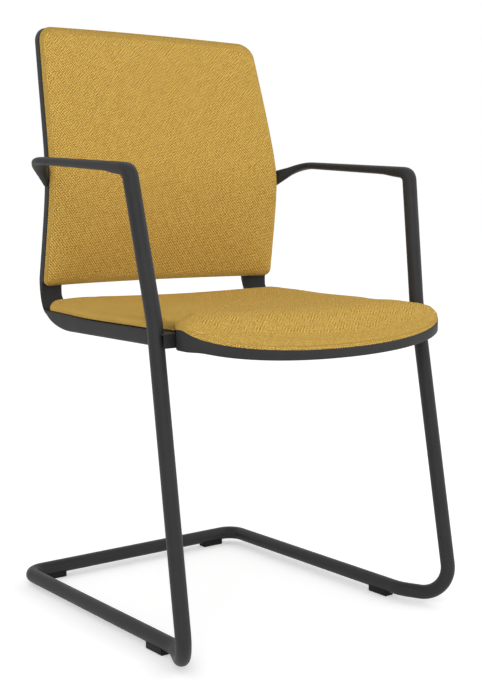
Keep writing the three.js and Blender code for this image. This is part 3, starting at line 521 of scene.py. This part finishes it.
moulded_plastic, plastic_tree, plastic_shader = finish_of(
    "moulded_plastic", PLASTIC_BLACK, roughness=0.56, Specular_IOR_Level=0.24
)
grained(plastic_tree, plastic_shader, PLASTIC_BLACK, spread=0.14, scale=1300, depth=0.0002)

pan_outline = seat_outline(0, PAN_HALF, PAN_HALF, PAN_REAR, PAN_REAR_RADIUS)
fill_shares = [0.2, 0.4, 0.55, 0.65, 0.72, 0.79, 0.85, 0.9, 0.94, 0.97]
pan_profile = [
    *fill(fill_shares, PAN_EDGE, PAN_FLOOR_Z),
    *((PAN_EDGE * way_in, 1, PAN_FLOOR_Z + PAN_EDGE * up) for way_in, up in ROUNDED_EDGE),
    (0, 1, LIP_TOP_Z - PAN_WALL * 0.4),
    (PAN_WALL * 0.12, 1, LIP_TOP_Z - PAN_WALL * 0.12),
    (PAN_WALL * 0.4, 1, LIP_TOP_Z),
    (PAN_WALL, 1, LIP_TOP_Z),
    (PAN_WALL, 1, PAN_FLOOR_Z + PAN_WALL),
    *fill(fill_shares[::-1], PAN_WALL, PAN_FLOOR_Z + PAN_WALL),
]
seat_pan = lofted("seat_pan_moulding", moulding_rings(pan_outline, SEAT_MIDDLE, pan_profile, seat_form))
over_wall = block(
    (-PAST_PAN_X, NOTCH_FRONT, CUSHION_BOTTOM_Z - FIT_GAP), (PAST_PAN_X, PAST_PAN_Y, PAST_PAN_Z)
)
cut_by(seat_pan, over_wall)
beam_window = block(
    (-PAST_PAN_X, BEAM_Y - BEAM_HALF_DEPTH - FIT_GAP, BEAM_BOTTOM_Z - 0.0002),
    (PAST_PAN_X, BEAM_Y + BEAM_HALF_DEPTH + FIT_GAP, BEAM_TOP_Z + FIT_GAP),
)
cut_by(seat_pan, beam_window)
closed_up(seat_pan)
dressed(seat_pan, moulded_plastic, "black_plastic", "seat_pan")

# Seat cushion
# Cut foam on the seat board under a woven wool cover that is pulled over the edge and stapled
# beneath. Its side swells a little over the lip and hangs down to the rails, and its middle dishes.

CUSHION_INSET, CUSHION_TUCK, CUSHION_BASE_INSET = 0.001, 0.0048, 0.008
CUSHION_NOTCH_HALF, CUSHION_HALF, CUSHION_REAR, CUSHION_REAR_RADIUS = 0.214, 0.223, 0.1661, 0.018
CUSHION_HEIGHT, CUSHION_CREST_INSET, CUSHION_CREST = 0.0168, 0.012, 0.80
CUSHION_DISH = 0.0045
CUSHION_REAR_SWELL, CUSHION_SWELL_Y = 0.20, (-0.04, 0.12)
HANGING_MOST, HANGING_LEAST, HANGING_Y = 0.005, 0.00005, (-0.178, -0.170)
UNDERCUT_Y, UNDERCUT_X = -0.181, 0.2  # behind and outside these the underside clears the pan's wall
RAIL_INNER, RAIL_TOP_Z, RAIL_TOP_FALL = 0.204, 0.4582, 0.005
RAIL_FALL_Y = (0.0411, 0.1411)
MUSTARD = (0.61, 0.375, 0.078)
MUSTARD_DARK = (0.24, 0.125, 0.018)
MUSTARD_LIGHT = (0.92, 0.64, 0.180)
WEAVE_SIDE_LEAN, WEAVE_ROLL = 0.5, 2.5  # the lean at which the cloth turns down a side, and how fast


def upholstered(piece, held, cap, pressure=4, last_frame=20):
    """Lets cloth under pressure plump a pad, each point moving at most a cap.

    held(place) is the share, from 0 to 1, by which the cover is held to what it is stapled to."""
    start = np.array([vertex.co for vertex in piece.data.vertices])
    hold = np.array([held(vertex.co) for vertex in piece.data.vertices])
    alone(piece)
    group = piece.vertex_groups.new(name="held")
    for vertex, share in zip(piece.data.vertices, hold):
        group.add([vertex.index], float(share), "REPLACE")
    bpy.ops.object.modifier_add(type="CLOTH")
    cloth = piece.modifiers[-1]
    cloth.settings.quality = 5
    cloth.settings.vertex_group_mass = group.name
    cloth.settings.use_pressure = True
    cloth.settings.uniform_pressure_force = pressure
    cloth.settings.effector_weights.gravity = 0
    cloth.point_cache.frame_end = last_frame
    for step in range(1, last_frame + 1):
        bpy.context.scene.frame_set(step)
    bpy.ops.object.modifier_apply(modifier=cloth.name)
    bpy.context.scene.frame_set(1)
    moved = np.array([vertex.co for vertex in piece.data.vertices]) - start
    far = np.linalg.norm(moved, axis=1, keepdims=True)
    moved *= np.minimum(1, cap * (1 - hold[:, None]) / np.maximum(far, 1e-9))
    piece.data.vertices.foreach_set("co", (start + moved).ravel())
    piece.vertex_groups.clear()
    apply_modifier(piece, "SUBSURF", levels=1, render_levels=1, use_limit_surface=False)
    closed_up(piece, 60)


def lay_weave(piece, across, upward, outward):
    """Stores where each point lies on the cloth: flat over the face, rolled out down the sides."""
    places, normals = np.empty((2, len(piece.data.vertices), 3))
    piece.data.vertices.foreach_get("co", places.ravel())
    piece.data.vertices.foreach_get("normal", normals.ravel())
    face = np.stack([places @ across, places @ upward], axis=1)
    lean = np.stack([normals @ across, normals @ upward], axis=1)
    steep = np.linalg.norm(lean, axis=1, keepdims=True)
    depth = (places @ outward).max() - places @ outward
    rolled = np.clip((steep - WEAVE_SIDE_LEAN) * WEAVE_ROLL, 0, 1)
    face += lean / np.maximum(steep, 1e-6) * rolled * depth[:, None]
    cloth = piece.data.attributes.new("weave", "FLOAT_VECTOR", "POINT")
    flat = np.hstack([face, np.zeros((len(face), 1))]).astype(np.float32)
    cloth.data.foreach_set("vector", flat.ravel())


def woven(name):
    """Wool crepe: diagonal ribs that change hand in patches, over fine knots and stray hairs."""
    finish, tree, shader = finish_of(name, MUSTARD, roughness=0.95, Specular_IOR_Level=0.08)
    place = node(tree, "Attribute", attribute_name="weave").outputs["Vector"]

    def math_node(operation, *values):
        return node(tree, "Math", *values, operation=operation).outputs[0]

    def ribs(lean, period):
        """A wave across ribs that lean by this angle and lie this many metres apart."""
        across = (math.cos(lean), math.sin(lean), 0)
        along = node(tree, "VectorMath", place, across, operation="DOT_PRODUCT").outputs["Value"]
        return math_node("SINE", math_node("MULTIPLY_ADD", along, 2 * math.pi / period, wander))

    wander = math_node("MULTIPLY_ADD", noise(tree, place, 24, detail=2), 4.0, -2.0)
    first, second = ribs(0.72, 0.0034), ribs(-0.85, 0.0037)
    hand = node(tree, "MapRange", noise(tree, place, 90, detail=2), 0.47, 0.62).outputs[0]
    hatch = node(tree, "Mix", hand, None, first, second).outputs[0]
    crossings = math_node("MULTIPLY", math_node("MULTIPLY", first, second), 0.8)
    lattice = math_node("MULTIPLY_ADD", hatch, 0.55, crossings)
    knots = tuned(
        node(tree, "TexVoronoi", place, voronoi_dimensions="2D"), Scale=620, Randomness=0.55
    )
    knot = node(tree, "SeparateColor", knots.outputs["Color"]).outputs[0]
    hair = noise(tree, place, 1400, detail=3)
    tone = math_node("MULTIPLY_ADD", lattice, 0.60, 0.60)
    for pattern, weight, offset in (
        (knot, 0.34, -0.17),
        (knots.outputs["Distance"], -0.55, 0.05),
        (hair, 0.3, -0.15),
    ):
        tone = math_node("ADD", tone, math_node("MULTIPLY_ADD", pattern, weight, offset))
    stops = [(0.02, MUSTARD_DARK), (0.48, MUSTARD), (0.98, MUSTARD_LIGHT)]
    tree.links.new(colour_ramp(tree, tone, stops), shader.inputs["Base Color"])
    bumped(tree, shader, tone, strength=0.7, depth=0.0006)
    return finish


def cushion_z(share):
    """The level at this share of the cushion's height."""
    return CUSHION_BOTTOM_Z + CUSHION_HEIGHT * share


def rail_top(y):
    """The height of a side rail's top, which falls forward of its bend."""
    return RAIL_TOP_Z - RAIL_TOP_FALL * (1 - min(max(mapped(y, *RAIL_FALL_Y, 0, 1), 0), 1))


def cushion_form(x, y, height):
    """The cushion swells towards its rear corners, and its edge hangs below its level underside."""
    if height >= CUSHION_BOTTOM_Z:
        swell = 1 + CUSHION_REAR_SWELL * eased(y, *CUSHION_SWELL_Y) * (0.2 + (x / 0.2) ** 2)
        return seat_form(x, y, CUSHION_BOTTOM_Z + (height - CUSHION_BOTTOM_Z) * swell)
    over_rail = min(CUSHION_BOTTOM_Z - FIT_GAP - rail_top(y), HANGING_MOST)
    hanging = max(over_rail * eased(y, *HANGING_Y), HANGING_LEAST)
    return seat_form(x, y, CUSHION_BOTTOM_Z - hanging * (CUSHION_BOTTOM_Z - height) / RAIL_TOP_FALL)


mustard_weave = woven("mustard_weave")
cushion_outline = seat_outline(
    CUSHION_INSET, CUSHION_NOTCH_HALF, CUSHION_HALF, CUSHION_REAR, CUSHION_REAR_RADIUS
)
cushion_underside = [  # outside the pan's wall from the notch back, inside its lip before that
    out if y > UNDERCUT_Y and abs(x) > UNDERCUT_X else drawn
    for (x, y), out, drawn in zip(
        cushion_outline, drawn_in(pan_outline, -FIT_GAP), drawn_in(cushion_outline, CUSHION_TUCK)
    )
]
cushion_shoulder = ((0.08, 0.47), (0.25, 0.59), (0.55, 0.71), (1, CUSHION_CREST))
face_shares = [0.975, 0.95, 0.92] + [0.88 - 0.04 * k for k in range(22)]


def cushion_face(share):
    """The top's height, which still rises a little inside the crest and dishes in the middle."""
    crown = cushion_z(1 - (1 - CUSHION_CREST) * eased(share, 0.80, 1.04) / 0.926)
    return crown - CUSHION_DISH * (1 - eased(share, 0.3, 0.85))


cushion_profile = [
    *fill(fill_shares, CUSHION_BASE_INSET, CUSHION_BOTTOM_Z),
    (CUSHION_BASE_INSET, 1, CUSHION_BOTTOM_Z),
    (0, 1, CUSHION_BOTTOM_Z - 0.0001, cushion_underside),
    (0, 1, CUSHION_BOTTOM_Z - RAIL_TOP_FALL, cushion_underside),
    (0.0006, 1, CUSHION_BOTTOM_Z - RAIL_TOP_FALL),
    (0.0002, 1, CUSHION_BOTTOM_Z - RAIL_TOP_FALL * 0.7),
    (0, 1, cushion_z(0.02)),
    (-0.0002, 1, cushion_z(0.2)),
    (0, 1, cushion_z(0.34)),
    *((CUSHION_CREST_INSET * way_in, 1, cushion_z(up)) for way_in, up in cushion_shoulder),
    *((CUSHION_CREST_INSET, share, cushion_face(share)) for share in face_shares),
]
seat_cushion = lofted(
    "seat_cushion_cover", moulding_rings(cushion_outline, SEAT_MIDDLE, cushion_profile, cushion_form)
)
upholstered(
    seat_cushion,
    lambda place: 1 - eased(place.z - seat_form(place.x, place.y, cushion_z(0)).z, 0.002, 0.010),
    cap=0.0015,
)
lay_weave(seat_cushion, Vector((1, 0, 0)), Vector((0, 1, 0)), Vector((0, 0, 1)))
dressed(seat_cushion, mustard_weave, "upholstery", "seat_cushion")

# Back frame
# One glass-filled nylon moulding: a shallow tray behind the pad, and on each side a strap that comes
# down from it, turns forward in a broad bend and runs under the seat's edge as a rail.

BACK_BOTTOM_Z, BACK_TOP_Z, BACK_ARCH = 0.495, 0.895, 0.006
BACK_HALF_BOTTOM, BACK_HALF_LUMBAR, BACK_HALF_TOP = 0.2215, 0.219, 0.2035
BACK_TAPER_POWER = 1.25
BACK_TOP_RADIUS, BACK_BOTTOM_RADIUS = 0.025, 0.011
LUMBAR_Y, LUMBAR_Z, LUMBAR_SOFTNESS = 0.1697, 0.658, 0.040
LEAN_ABOVE, LEAN_BELOW = 0.253, 0.165
BACK_BOW = 0.030
BACK_DEPTH, BACK_SKIN, BACK_RIM, BACK_ROUND = 0.013, 0.003, 0.004, 0.0015
RAIL_OUTER, RAIL_BOTTOM_Z = 0.2275, 0.4315
RAIL_FRONT_Y, RAIL_CORNER = -0.1469, 0.005
BEND_LENGTH, BEND_HEIGHT, BEND_FULLNESS = 0.104, 0.074, 2.15
STRAP_INNER, STRAP_OUTER, STRAP_DEPTH, STRAP_RUN = 0.1790, 0.2207, 0.0085, 0.014
FOOT_LENGTH, FOOT_HEIGHT, FOOT_FULLNESS = 0.029, 0.028, 3.5
STRAP_BLEND, STRAP_INNER_BLEND = (0.35, 0.95), (0.42, 0.62)  # shares of the bend


def back_y(z):
    """How far back the frame's rear face lies at its side."""
    lean = LEAN_ABOVE if z > LUMBAR_Z else LEAN_BELOW
    return LUMBAR_Y + lean * (math.hypot(z - LUMBAR_Z, LUMBAR_SOFTNESS) - LUMBAR_SOFTNESS)


def back_half(z):
    """Half the frame's width, which narrows to the lumbar and then faster to the top."""
    if z < LUMBAR_Z:
        return mapped(z, BACK_BOTTOM_Z, LUMBAR_Z, BACK_HALF_BOTTOM, BACK_HALF_LUMBAR)
    share = (z - LUMBAR_Z) / (BACK_TOP_Z - LUMBAR_Z)
    return BACK_HALF_LUMBAR + (BACK_HALF_TOP - BACK_HALF_LUMBAR) * share**BACK_TAPER_POWER


def bow(x):
    """How much further back the frame's middle lies than its sides."""
    return BACK_BOW * (1 - (x / BACK_HALF_LUMBAR) ** 2)


def back_form(x, z, forward):
    return Vector((x, back_y(z) + bow(x) - forward, z))


def back_outline():
    """The back seen from the front, from the middle of its lower edge round its left side."""
    corner_top = BACK_TOP_Z - BACK_ARCH
    side_low, side_high = BACK_BOTTOM_Z + BACK_BOTTOM_RADIUS, corner_top - BACK_TOP_RADIUS
    low_share = 1 - BACK_BOTTOM_RADIUS / BACK_HALF_BOTTOM
    high_share = 1 - BACK_TOP_RADIUS / BACK_HALF_TOP
    half = [(low_share * k / 24 * back_half(BACK_BOTTOM_Z), BACK_BOTTOM_Z) for k in range(24)]
    for k in range(9):
        turn = k / 8 * math.pi / 2
        z = BACK_BOTTOM_Z + BACK_BOTTOM_RADIUS * (1 - math.cos(turn))
        half.append(((low_share + (1 - low_share) * math.sin(turn)) * back_half(z), z))
    for k in range(1, 40):
        z = mapped(k, 0, 40, side_low, side_high)
        half.append((back_half(z), z))
    for k in range(13):
        turn = k / 12 * math.pi / 2
        share = high_share + (1 - high_share) * math.cos(turn)
        arch = corner_top + BACK_ARCH * (1 - share**2)
        half.append((share * back_half(side_high), arch - BACK_TOP_RADIUS * (1 - math.sin(turn))))
    for k in range(23, -1, -1):
        share = high_share * k / 24
        half.append((share * back_half(side_high), corner_top + BACK_ARCH * (1 - share**2)))
    return both_halves(half)


def section_ring(inner, outer, thickness, radius, steps):
    """A rounded rectangle from inner to outer and from 0 to its thickness, clockwise."""
    ring = []
    for x, rise, start in (
        (inner + radius, thickness - radius, math.pi),
        (outer - radius, thickness - radius, math.pi / 2),
        (outer - radius, radius, 0),
        (inner + radius, radius, -math.pi / 2),
    ):
        for k in range(steps + 1):
            turn = start - k / steps * math.pi / 2
            ring.append((x + radius * math.cos(turn), rise + radius * math.sin(turn)))
    return ring


def rail_and_strap(name):
    """A rounded section drawn back along the rail, round the bend and up into the shell."""
    bend_end = back_y(BACK_BOTTOM_Z)
    bend_start = bend_end - BEND_LENGTH
    inner_end = bend_end - STRAP_DEPTH
    inner_start = inner_end - FOOT_LENGTH
    line = []
    for k in range(13):
        y = mapped(k, 0, 12, RAIL_FRONT_Y, bend_start)
        line.append(((y, RAIL_BOTTOM_Z), (y, rail_top(y)), 0))
    for k in range(1, 49):
        share = k / 48
        along, below = super_quarter(share * math.pi / 2, BEND_FULLNESS)
        under = (bend_start + BEND_LENGTH * along, RAIL_BOTTOM_Z + BEND_HEIGHT * (1 - below))
        over_y = bend_start + (inner_start - bend_start) * min(share / 0.5, 1)
        over = (over_y, rail_top(over_y))
        if share > 0.5:
            along, below = super_quarter((share - 0.5) * math.pi, FOOT_FULLNESS)
            over = (inner_start + FOOT_LENGTH * along, RAIL_TOP_Z + FOOT_HEIGHT * (1 - below))
        line.append((under, over, share))
    top = RAIL_BOTTOM_Z + BEND_HEIGHT + STRAP_RUN
    line.append(((back_y(top), top), (back_y(top) - STRAP_DEPTH, top), 1))
    rings = []
    for under, over, share in line:
        blend = eased(share, *STRAP_BLEND)
        across = Vector(over) - Vector(under)
        thickness = across.length
        across.normalize()
        inner = RAIL_INNER + (STRAP_INNER - RAIL_INNER) * eased(share, *STRAP_INNER_BLEND)
        outer = RAIL_OUTER + (STRAP_OUTER - RAIL_OUTER) * blend
        section = section_ring(inner, outer, thickness, min(RAIL_CORNER, thickness * 0.4), steps=5)
        rings.append([
            Vector((x, under[0] + across.x * rise + blend * bow(x), under[1] + across.y * rise))
            for x, rise in section
        ])
    return lofted(name, rings)


frame_outline = back_outline()
back_middle = (0, (BACK_BOTTOM_Z + BACK_TOP_Z) / 2)
back_shares = [0.1, 0.25, 0.4, 0.55, 0.7, 0.82, 0.92]
shell_profile = [
    *fill(back_shares, BACK_RIM, 0),
    (BACK_RIM, 1, 0),
    *((BACK_ROUND * way_in, 1, BACK_ROUND * up) for way_in, up in ROUNDED_EDGE),
    *((BACK_ROUND * way_in, 1, BACK_DEPTH - BACK_ROUND * up) for way_in, up in ROUNDED_EDGE[::-1]),
    (BACK_RIM, 1, BACK_DEPTH),
    (BACK_RIM, 1, BACK_SKIN),
    *fill(back_shares[::-1], BACK_RIM, BACK_SKIN),
]
back_frame = lofted(
    "back_frame_moulding", moulding_rings(frame_outline, back_middle, shell_profile, back_form)
)
strap_left = rail_and_strap("strap_left")
strap_right = copy_of(strap_left, "strap_right", scale=(-1, 1, 1))
closed_up(strap_right)
cut_by(back_frame, strap_left, "UNION")
cut_by(back_frame, strap_right, "UNION")
closed_up(back_frame)
dressed(back_frame, moulded_plastic, "black_plastic", "back_frame")

# Back cushion
# Foam on a pressed board, the cover pulled round its edge, so it meets the frame's rim in a rolled
# edge with a dark line behind it.

PAD_BACK, PAD_BOARD_FRONT = 0.0133, 0.0193
PAD_HEIGHT, PAD_TUCK, PAD_SKIN, PAD_ROUND = 0.021, 0.002, 0.005, 0.008
PAD_CREST, PAD_CROWN = 0.65, 0.33  # shares of the height: its rolled edge, and the rise inside it


def pad_y(share):
    """How far forward of the frame's rear face this share of the pad's depth lies."""
    return PAD_BACK + PAD_HEIGHT * share


pad_shoulder = ((0.12, 0.38), (0.3, 0.47), (0.6, 0.57), (1, PAD_CREST))
pad_shares = [0.98 - 0.04 * k for k in range(25)]
pad_profile = [
    *fill(back_shares, PAD_SKIN, PAD_BOARD_FRONT + FIT_GAP),
    (PAD_SKIN, 1, PAD_BOARD_FRONT + FIT_GAP),
    (PAD_SKIN, 1, pad_y(0)),
    (PAD_TUCK, 1, pad_y(0)),
    (PAD_TUCK * 0.2, 1, pad_y(0.05)),
    (-0.0006, 1, pad_y(0.15)),
    (-0.0004, 1, pad_y(0.25)),
    *((PAD_ROUND * way_in, 1, pad_y(up)) for way_in, up in pad_shoulder),
    *((PAD_ROUND, share, pad_y(PAD_CREST + PAD_CROWN * (1 - share**6) ** 0.8)) for share in pad_shares),
]
back_cushion = lofted(
    "back_cushion_cover", moulding_rings(frame_outline, back_middle, pad_profile, back_form)
)
upholstered(
    back_cushion,
    lambda place: 1 - eased(back_form(place.x, place.z, 0).y - place.y - PAD_BACK, 0.006, 0.014),
    cap=0.001,
)
lay_weave(back_cushion, Vector((1, 0, 0)), Vector((0, 0, 1)), Vector((0, -1, 0)))
dressed(back_cushion, mustard_weave, "upholstery", "back_cushion")

# Arms
# Loop arms moulded in black nylon over a steel plug. Each grows round out of the tube's end, turns
# back into a flattened armrest, then sweeps in and down and deepens to its flat end on the frame.

ARM_FRONT_HALF_THICKNESS, ARM_REAR_HALF_THICKNESS, ARM_HALF_WIDTH = 0.0070, 0.0056, 0.0115
ARM_CORNER_FILL, ARM_CORNER_RUN = 0.0036, 0.045
ARM_FRONT_RISE, ARM_FRONT_RADIUS = 0.0385, 0.018
ARM_REAR_Y, ARM_REAR_RISE, ARM_REAR_RADIUS = 0.1241, 0.0146, 0.056
ARM_ROOT_HALF_HEIGHT, ARM_ROOT_HALF_DEPTH, ARM_ROOT_Z = 0.0137, 0.005, 0.660
ARM_ROOT = Vector((
    back_half(ARM_ROOT_Z - ARM_ROOT_HALF_HEIGHT) + FIT_GAP, back_y(ARM_ROOT_Z) - 0.0065, ARM_ROOT_Z
))
ARM_PAST_ROOT = 0.003  # run on past the root's plane, then cut flat on it
ARM_FLARE_POWER = 2.6
ARM_SIDES, ARM_FULLNESS = 48, 2.9
ARM_JOINT = 0.00005
ARM_TURN_STEP = math.radians(4)
ARM_REST_STEPS = 12


def bent_stations(corners, turn_step):
    """Places and directions of a path that turns each corner on an arc."""
    stations = [(corners[0][0], (corners[1][0] - corners[0][0]).normalized())]
    for (before, _), (corner, bend), (after, _) in zip(corners, corners[1:], corners[2:]):
        coming, turn, start, _, centre, axis = bend_at(before, corner, after, bend)
        steps = math.ceil(turn / turn_step)
        for k in range(steps + 1):
            spin = Matrix.Rotation(turn * k / steps, 3, axis)
            stations.append((centre + spin @ (start - centre), spin @ coming))
    stations.append((corners[-1][0], (corners[-1][0] - corners[-2][0]).normalized()))
    return stations


def oval_ring(middle, side, crown, across, upright, fullness):
    """A superellipse round a place, turning from its crown to its side."""
    ring = []
    for k in range(ARM_SIDES):
        turn = k / ARM_SIDES * 2 * math.pi
        out, high = super_quarter(turn, fullness)
        a = math.copysign(across * out, math.sin(turn))
        b = math.copysign(upright * high, math.cos(turn))
        ring.append(middle + side * a + crown * b)
    return ring


def arm_left_rings():
    """Sections from the tube's end round the front corner, along the rest and in to the root."""
    along_leg = (LEG_TOP - LEG_KNEE).normalized()
    start = LEG_TOP + along_leg * ARM_JOINT
    front = LEG_TOP + along_leg * ARM_FRONT_RISE
    rear = Vector((front.x, ARM_REAR_Y, front.z + ARM_REAR_RISE))
    inside = ARM_ROOT + (ARM_ROOT - rear).normalized() * ARM_PAST_ROOT
    corners = [(start, 0), (front, ARM_FRONT_RADIUS), (rear, ARM_REAR_RADIUS), (inside, 0)]
    stations = bent_stations(corners, ARM_TURN_STEP)
    rear_start = next(
        i for i, (place, _) in enumerate(stations)
        if (place - rear).length < (front - rear).length - ARM_FRONT_RADIUS
    )
    corner_end = rear_start - 1
    rest, sweep = (front - rear).length, (stations[rear_start][0] - inside).length
    (rest_start, along_rest), (rest_end, _) = stations[corner_end:rear_start + 1]
    stations[rear_start:rear_start] = [
        (rest_start.lerp(rest_end, k / ARM_REST_STEPS), along_rest) for k in range(1, ARM_REST_STEPS)
    ]
    rear_start += ARM_REST_STEPS - 1
    rings = []
    for i, (place, along) in enumerate(stations):
        to_rest, to_rear = eased(i, 1, corner_end), min(max((place.y - front.y) / rest, 0), 1)
        to_root = (1 - (place - inside).length / sweep) ** ARM_FLARE_POWER if i > rear_start else 0
        thickness = mapped(to_rear, 0, 1, ARM_FRONT_HALF_THICKNESS, ARM_REAR_HALF_THICKNESS)
        across = TUBE_RADIUS + (ARM_HALF_WIDTH - TUBE_RADIUS) * to_rest
        upright = TUBE_RADIUS + (thickness - TUBE_RADIUS) * to_rest
        across += (ARM_ROOT_HALF_DEPTH - across) * to_root
        upright += (ARM_ROOT_HALF_HEIGHT - upright) * to_root
        guide = Vector((1, 0, 0)) if i < corner_end else along.cross(Vector((0, 0, 1)))
        side = (guide - along * guide.dot(along)).normalized()
        crown = side.cross(along).normalized()
        past_corner = (place - rest_start).dot(along_rest) if i > corner_end else 0
        filled = ARM_CORNER_FILL / 2 * to_rest * (1 - eased(past_corner, 0, ARM_CORNER_RUN))
        fullness = 2 + (ARM_FULLNESS - 2) * to_rest
        rings.append(oval_ring(place - crown * filled, side, crown, across, upright + filled, fullness))
    return rings


arm_left = lofted("arm_left_loop", arm_left_rings())
cut_by(arm_left, block((0.18, 0.10, 0.57), (ARM_ROOT.x, 0.21, 0.73)))
closed_up(arm_left)
arm_right = copy_of(arm_left, "arm_right_loop", scale=(-1, 1, 1))
closed_up(arm_right)
dressed(arm_left, moulded_plastic, "black_plastic", "arm_left")
dressed(arm_right, moulded_plastic, "black_plastic", "arm_right")

# Arm screws
# Two zinc plated screws a side, driven outwards from inside the back's shell and just into the arm's
# flat end. They are turned from rod, head and shank in one.

ARM_SCREW_RADIUS, ARM_SCREW_HEAD_RADIUS, ARM_SCREW_HEAD = 0.0025, 0.004, 0.0035
ARM_SCREW_BITE, ARM_SCREW_EDGE = 0.0015, 0.0004
for name in [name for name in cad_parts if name.startswith("arm_screw")]:
    points = np.array([vertex.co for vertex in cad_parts[name].data.vertices])
    low, high = points.min(axis=0), points.max(axis=0)
    side = math.copysign(1, low[0])
    inner, tip = min(abs(low[0]), abs(high[0])), ARM_ROOT.x + ARM_SCREW_BITE
    y, z = (low[1:] + high[1:]) / 2
    screw = rod(ARM_SCREW_RADIUS, tip - inner, (side * (tip + inner) / 2, y, z), (0, QUARTER_TURN, 0))
    head_middle = (side * (inner + ARM_SCREW_HEAD / 2), y, z)
    head = rod(ARM_SCREW_HEAD_RADIUS, ARM_SCREW_HEAD, head_middle, (0, QUARTER_TURN, 0))
    cut_by(screw, head, "UNION")
    round_edges(screw, ARM_SCREW_EDGE, past_angle=40)
    screw.name = screw.data.name = name + "_turned"
    closed_up(screw)
    dressed(screw, zinc_plate, "plated_steel", name)

# Room, light and camera
# A plain white floor and surround, soft light from all round with a large soft lamp in front, and
# the camera where the photograph was taken from.

FLOOR_WHITE, FLOOR_GLOW = (0.92, 0.92, 0.92), 0.32
SURROUND_LIGHT, SURROUND_SEEN = 0.78, 1.0
LIT_AT = Vector((0, 0, 0.45))
AZIMUTH, ELEVATION = math.radians(-37.48), math.radians(6.95)
CAMERA_PLACE = (-1.1557, -1.5425, 0.6343)
CAMERA_SENSOR, FOCAL_LENGTH = 36, 1258.7 / 696  # the focal length in frame heights

bpy.ops.object.select_all(action="DESELECT")
bpy.ops.mesh.primitive_plane_add(size=30)
floor = bpy.context.object
floor.name = "floor"
floor_white, floor_tree, floor_shader = finish_of(
    "floor_white", FLOOR_WHITE, roughness=0.9, Emission_Color=(1, 1, 1, 1)
)
floor.data.materials.append(floor_white)


def seen_by_eye(tree):
    """1 for rays that the camera or a reflection sees, 0 for those that light things."""
    path = node(tree, "LightPath")
    either = node(
        tree, "Math", path.outputs["Is Camera Ray"], path.outputs["Is Glossy Ray"], operation="MAXIMUM"
    )
    return node(
        tree, "Math", either.outputs[0], path.outputs["Is Transmission Ray"], operation="MAXIMUM"
    ).outputs[0]


floor_glow = node(floor_tree, "Math", seen_by_eye(floor_tree), FLOOR_GLOW, operation="MULTIPLY")
floor_tree.links.new(floor_glow.outputs[0], floor_shader.inputs["Emission Strength"])

world = bpy.data.worlds.new("studio")
bpy.context.scene.world = world
world.use_nodes = True
sky = world.node_tree
backdrop = tuned(sky.nodes["Background"], Color=(1, 1, 1, 1))
strength = node(sky, "MapRange", seen_by_eye(sky), 0, 1, SURROUND_LIGHT, SURROUND_SEEN)
sky.links.new(strength.outputs[0], backdrop.inputs["Strength"])

for lamp_name, place, size, power in (
    ("key", (-1.6, -2.6, 2.2), 2.2, 32),
    ("fill", (2.2, -1.6, 1.6), 2.0, 10),
):
    bpy.ops.object.light_add(type="AREA", location=place)
    lamp = bpy.context.object
    lamp.name = lamp_name
    lamp.data.size = size
    lamp.data.energy = power
    lamp.rotation_euler = (LIT_AT - Vector(place)).to_track_quat("-Z", "Y").to_euler()

bpy.ops.object.camera_add(location=CAMERA_PLACE)
camera = bpy.context.object
camera_back = Vector((
    math.sin(AZIMUTH) * math.cos(ELEVATION),
    -math.cos(AZIMUTH) * math.cos(ELEVATION),
    math.sin(ELEVATION),
))
camera.rotation_euler = (-camera_back).to_track_quat("-Z", "Y").to_euler()
camera.data.sensor_width = CAMERA_SENSOR
camera.data.lens = FOCAL_LENGTH * CAMERA_SENSOR
bpy.context.scene.camera = camera
bpy.context.scene.view_settings.view_transform = "Standard"
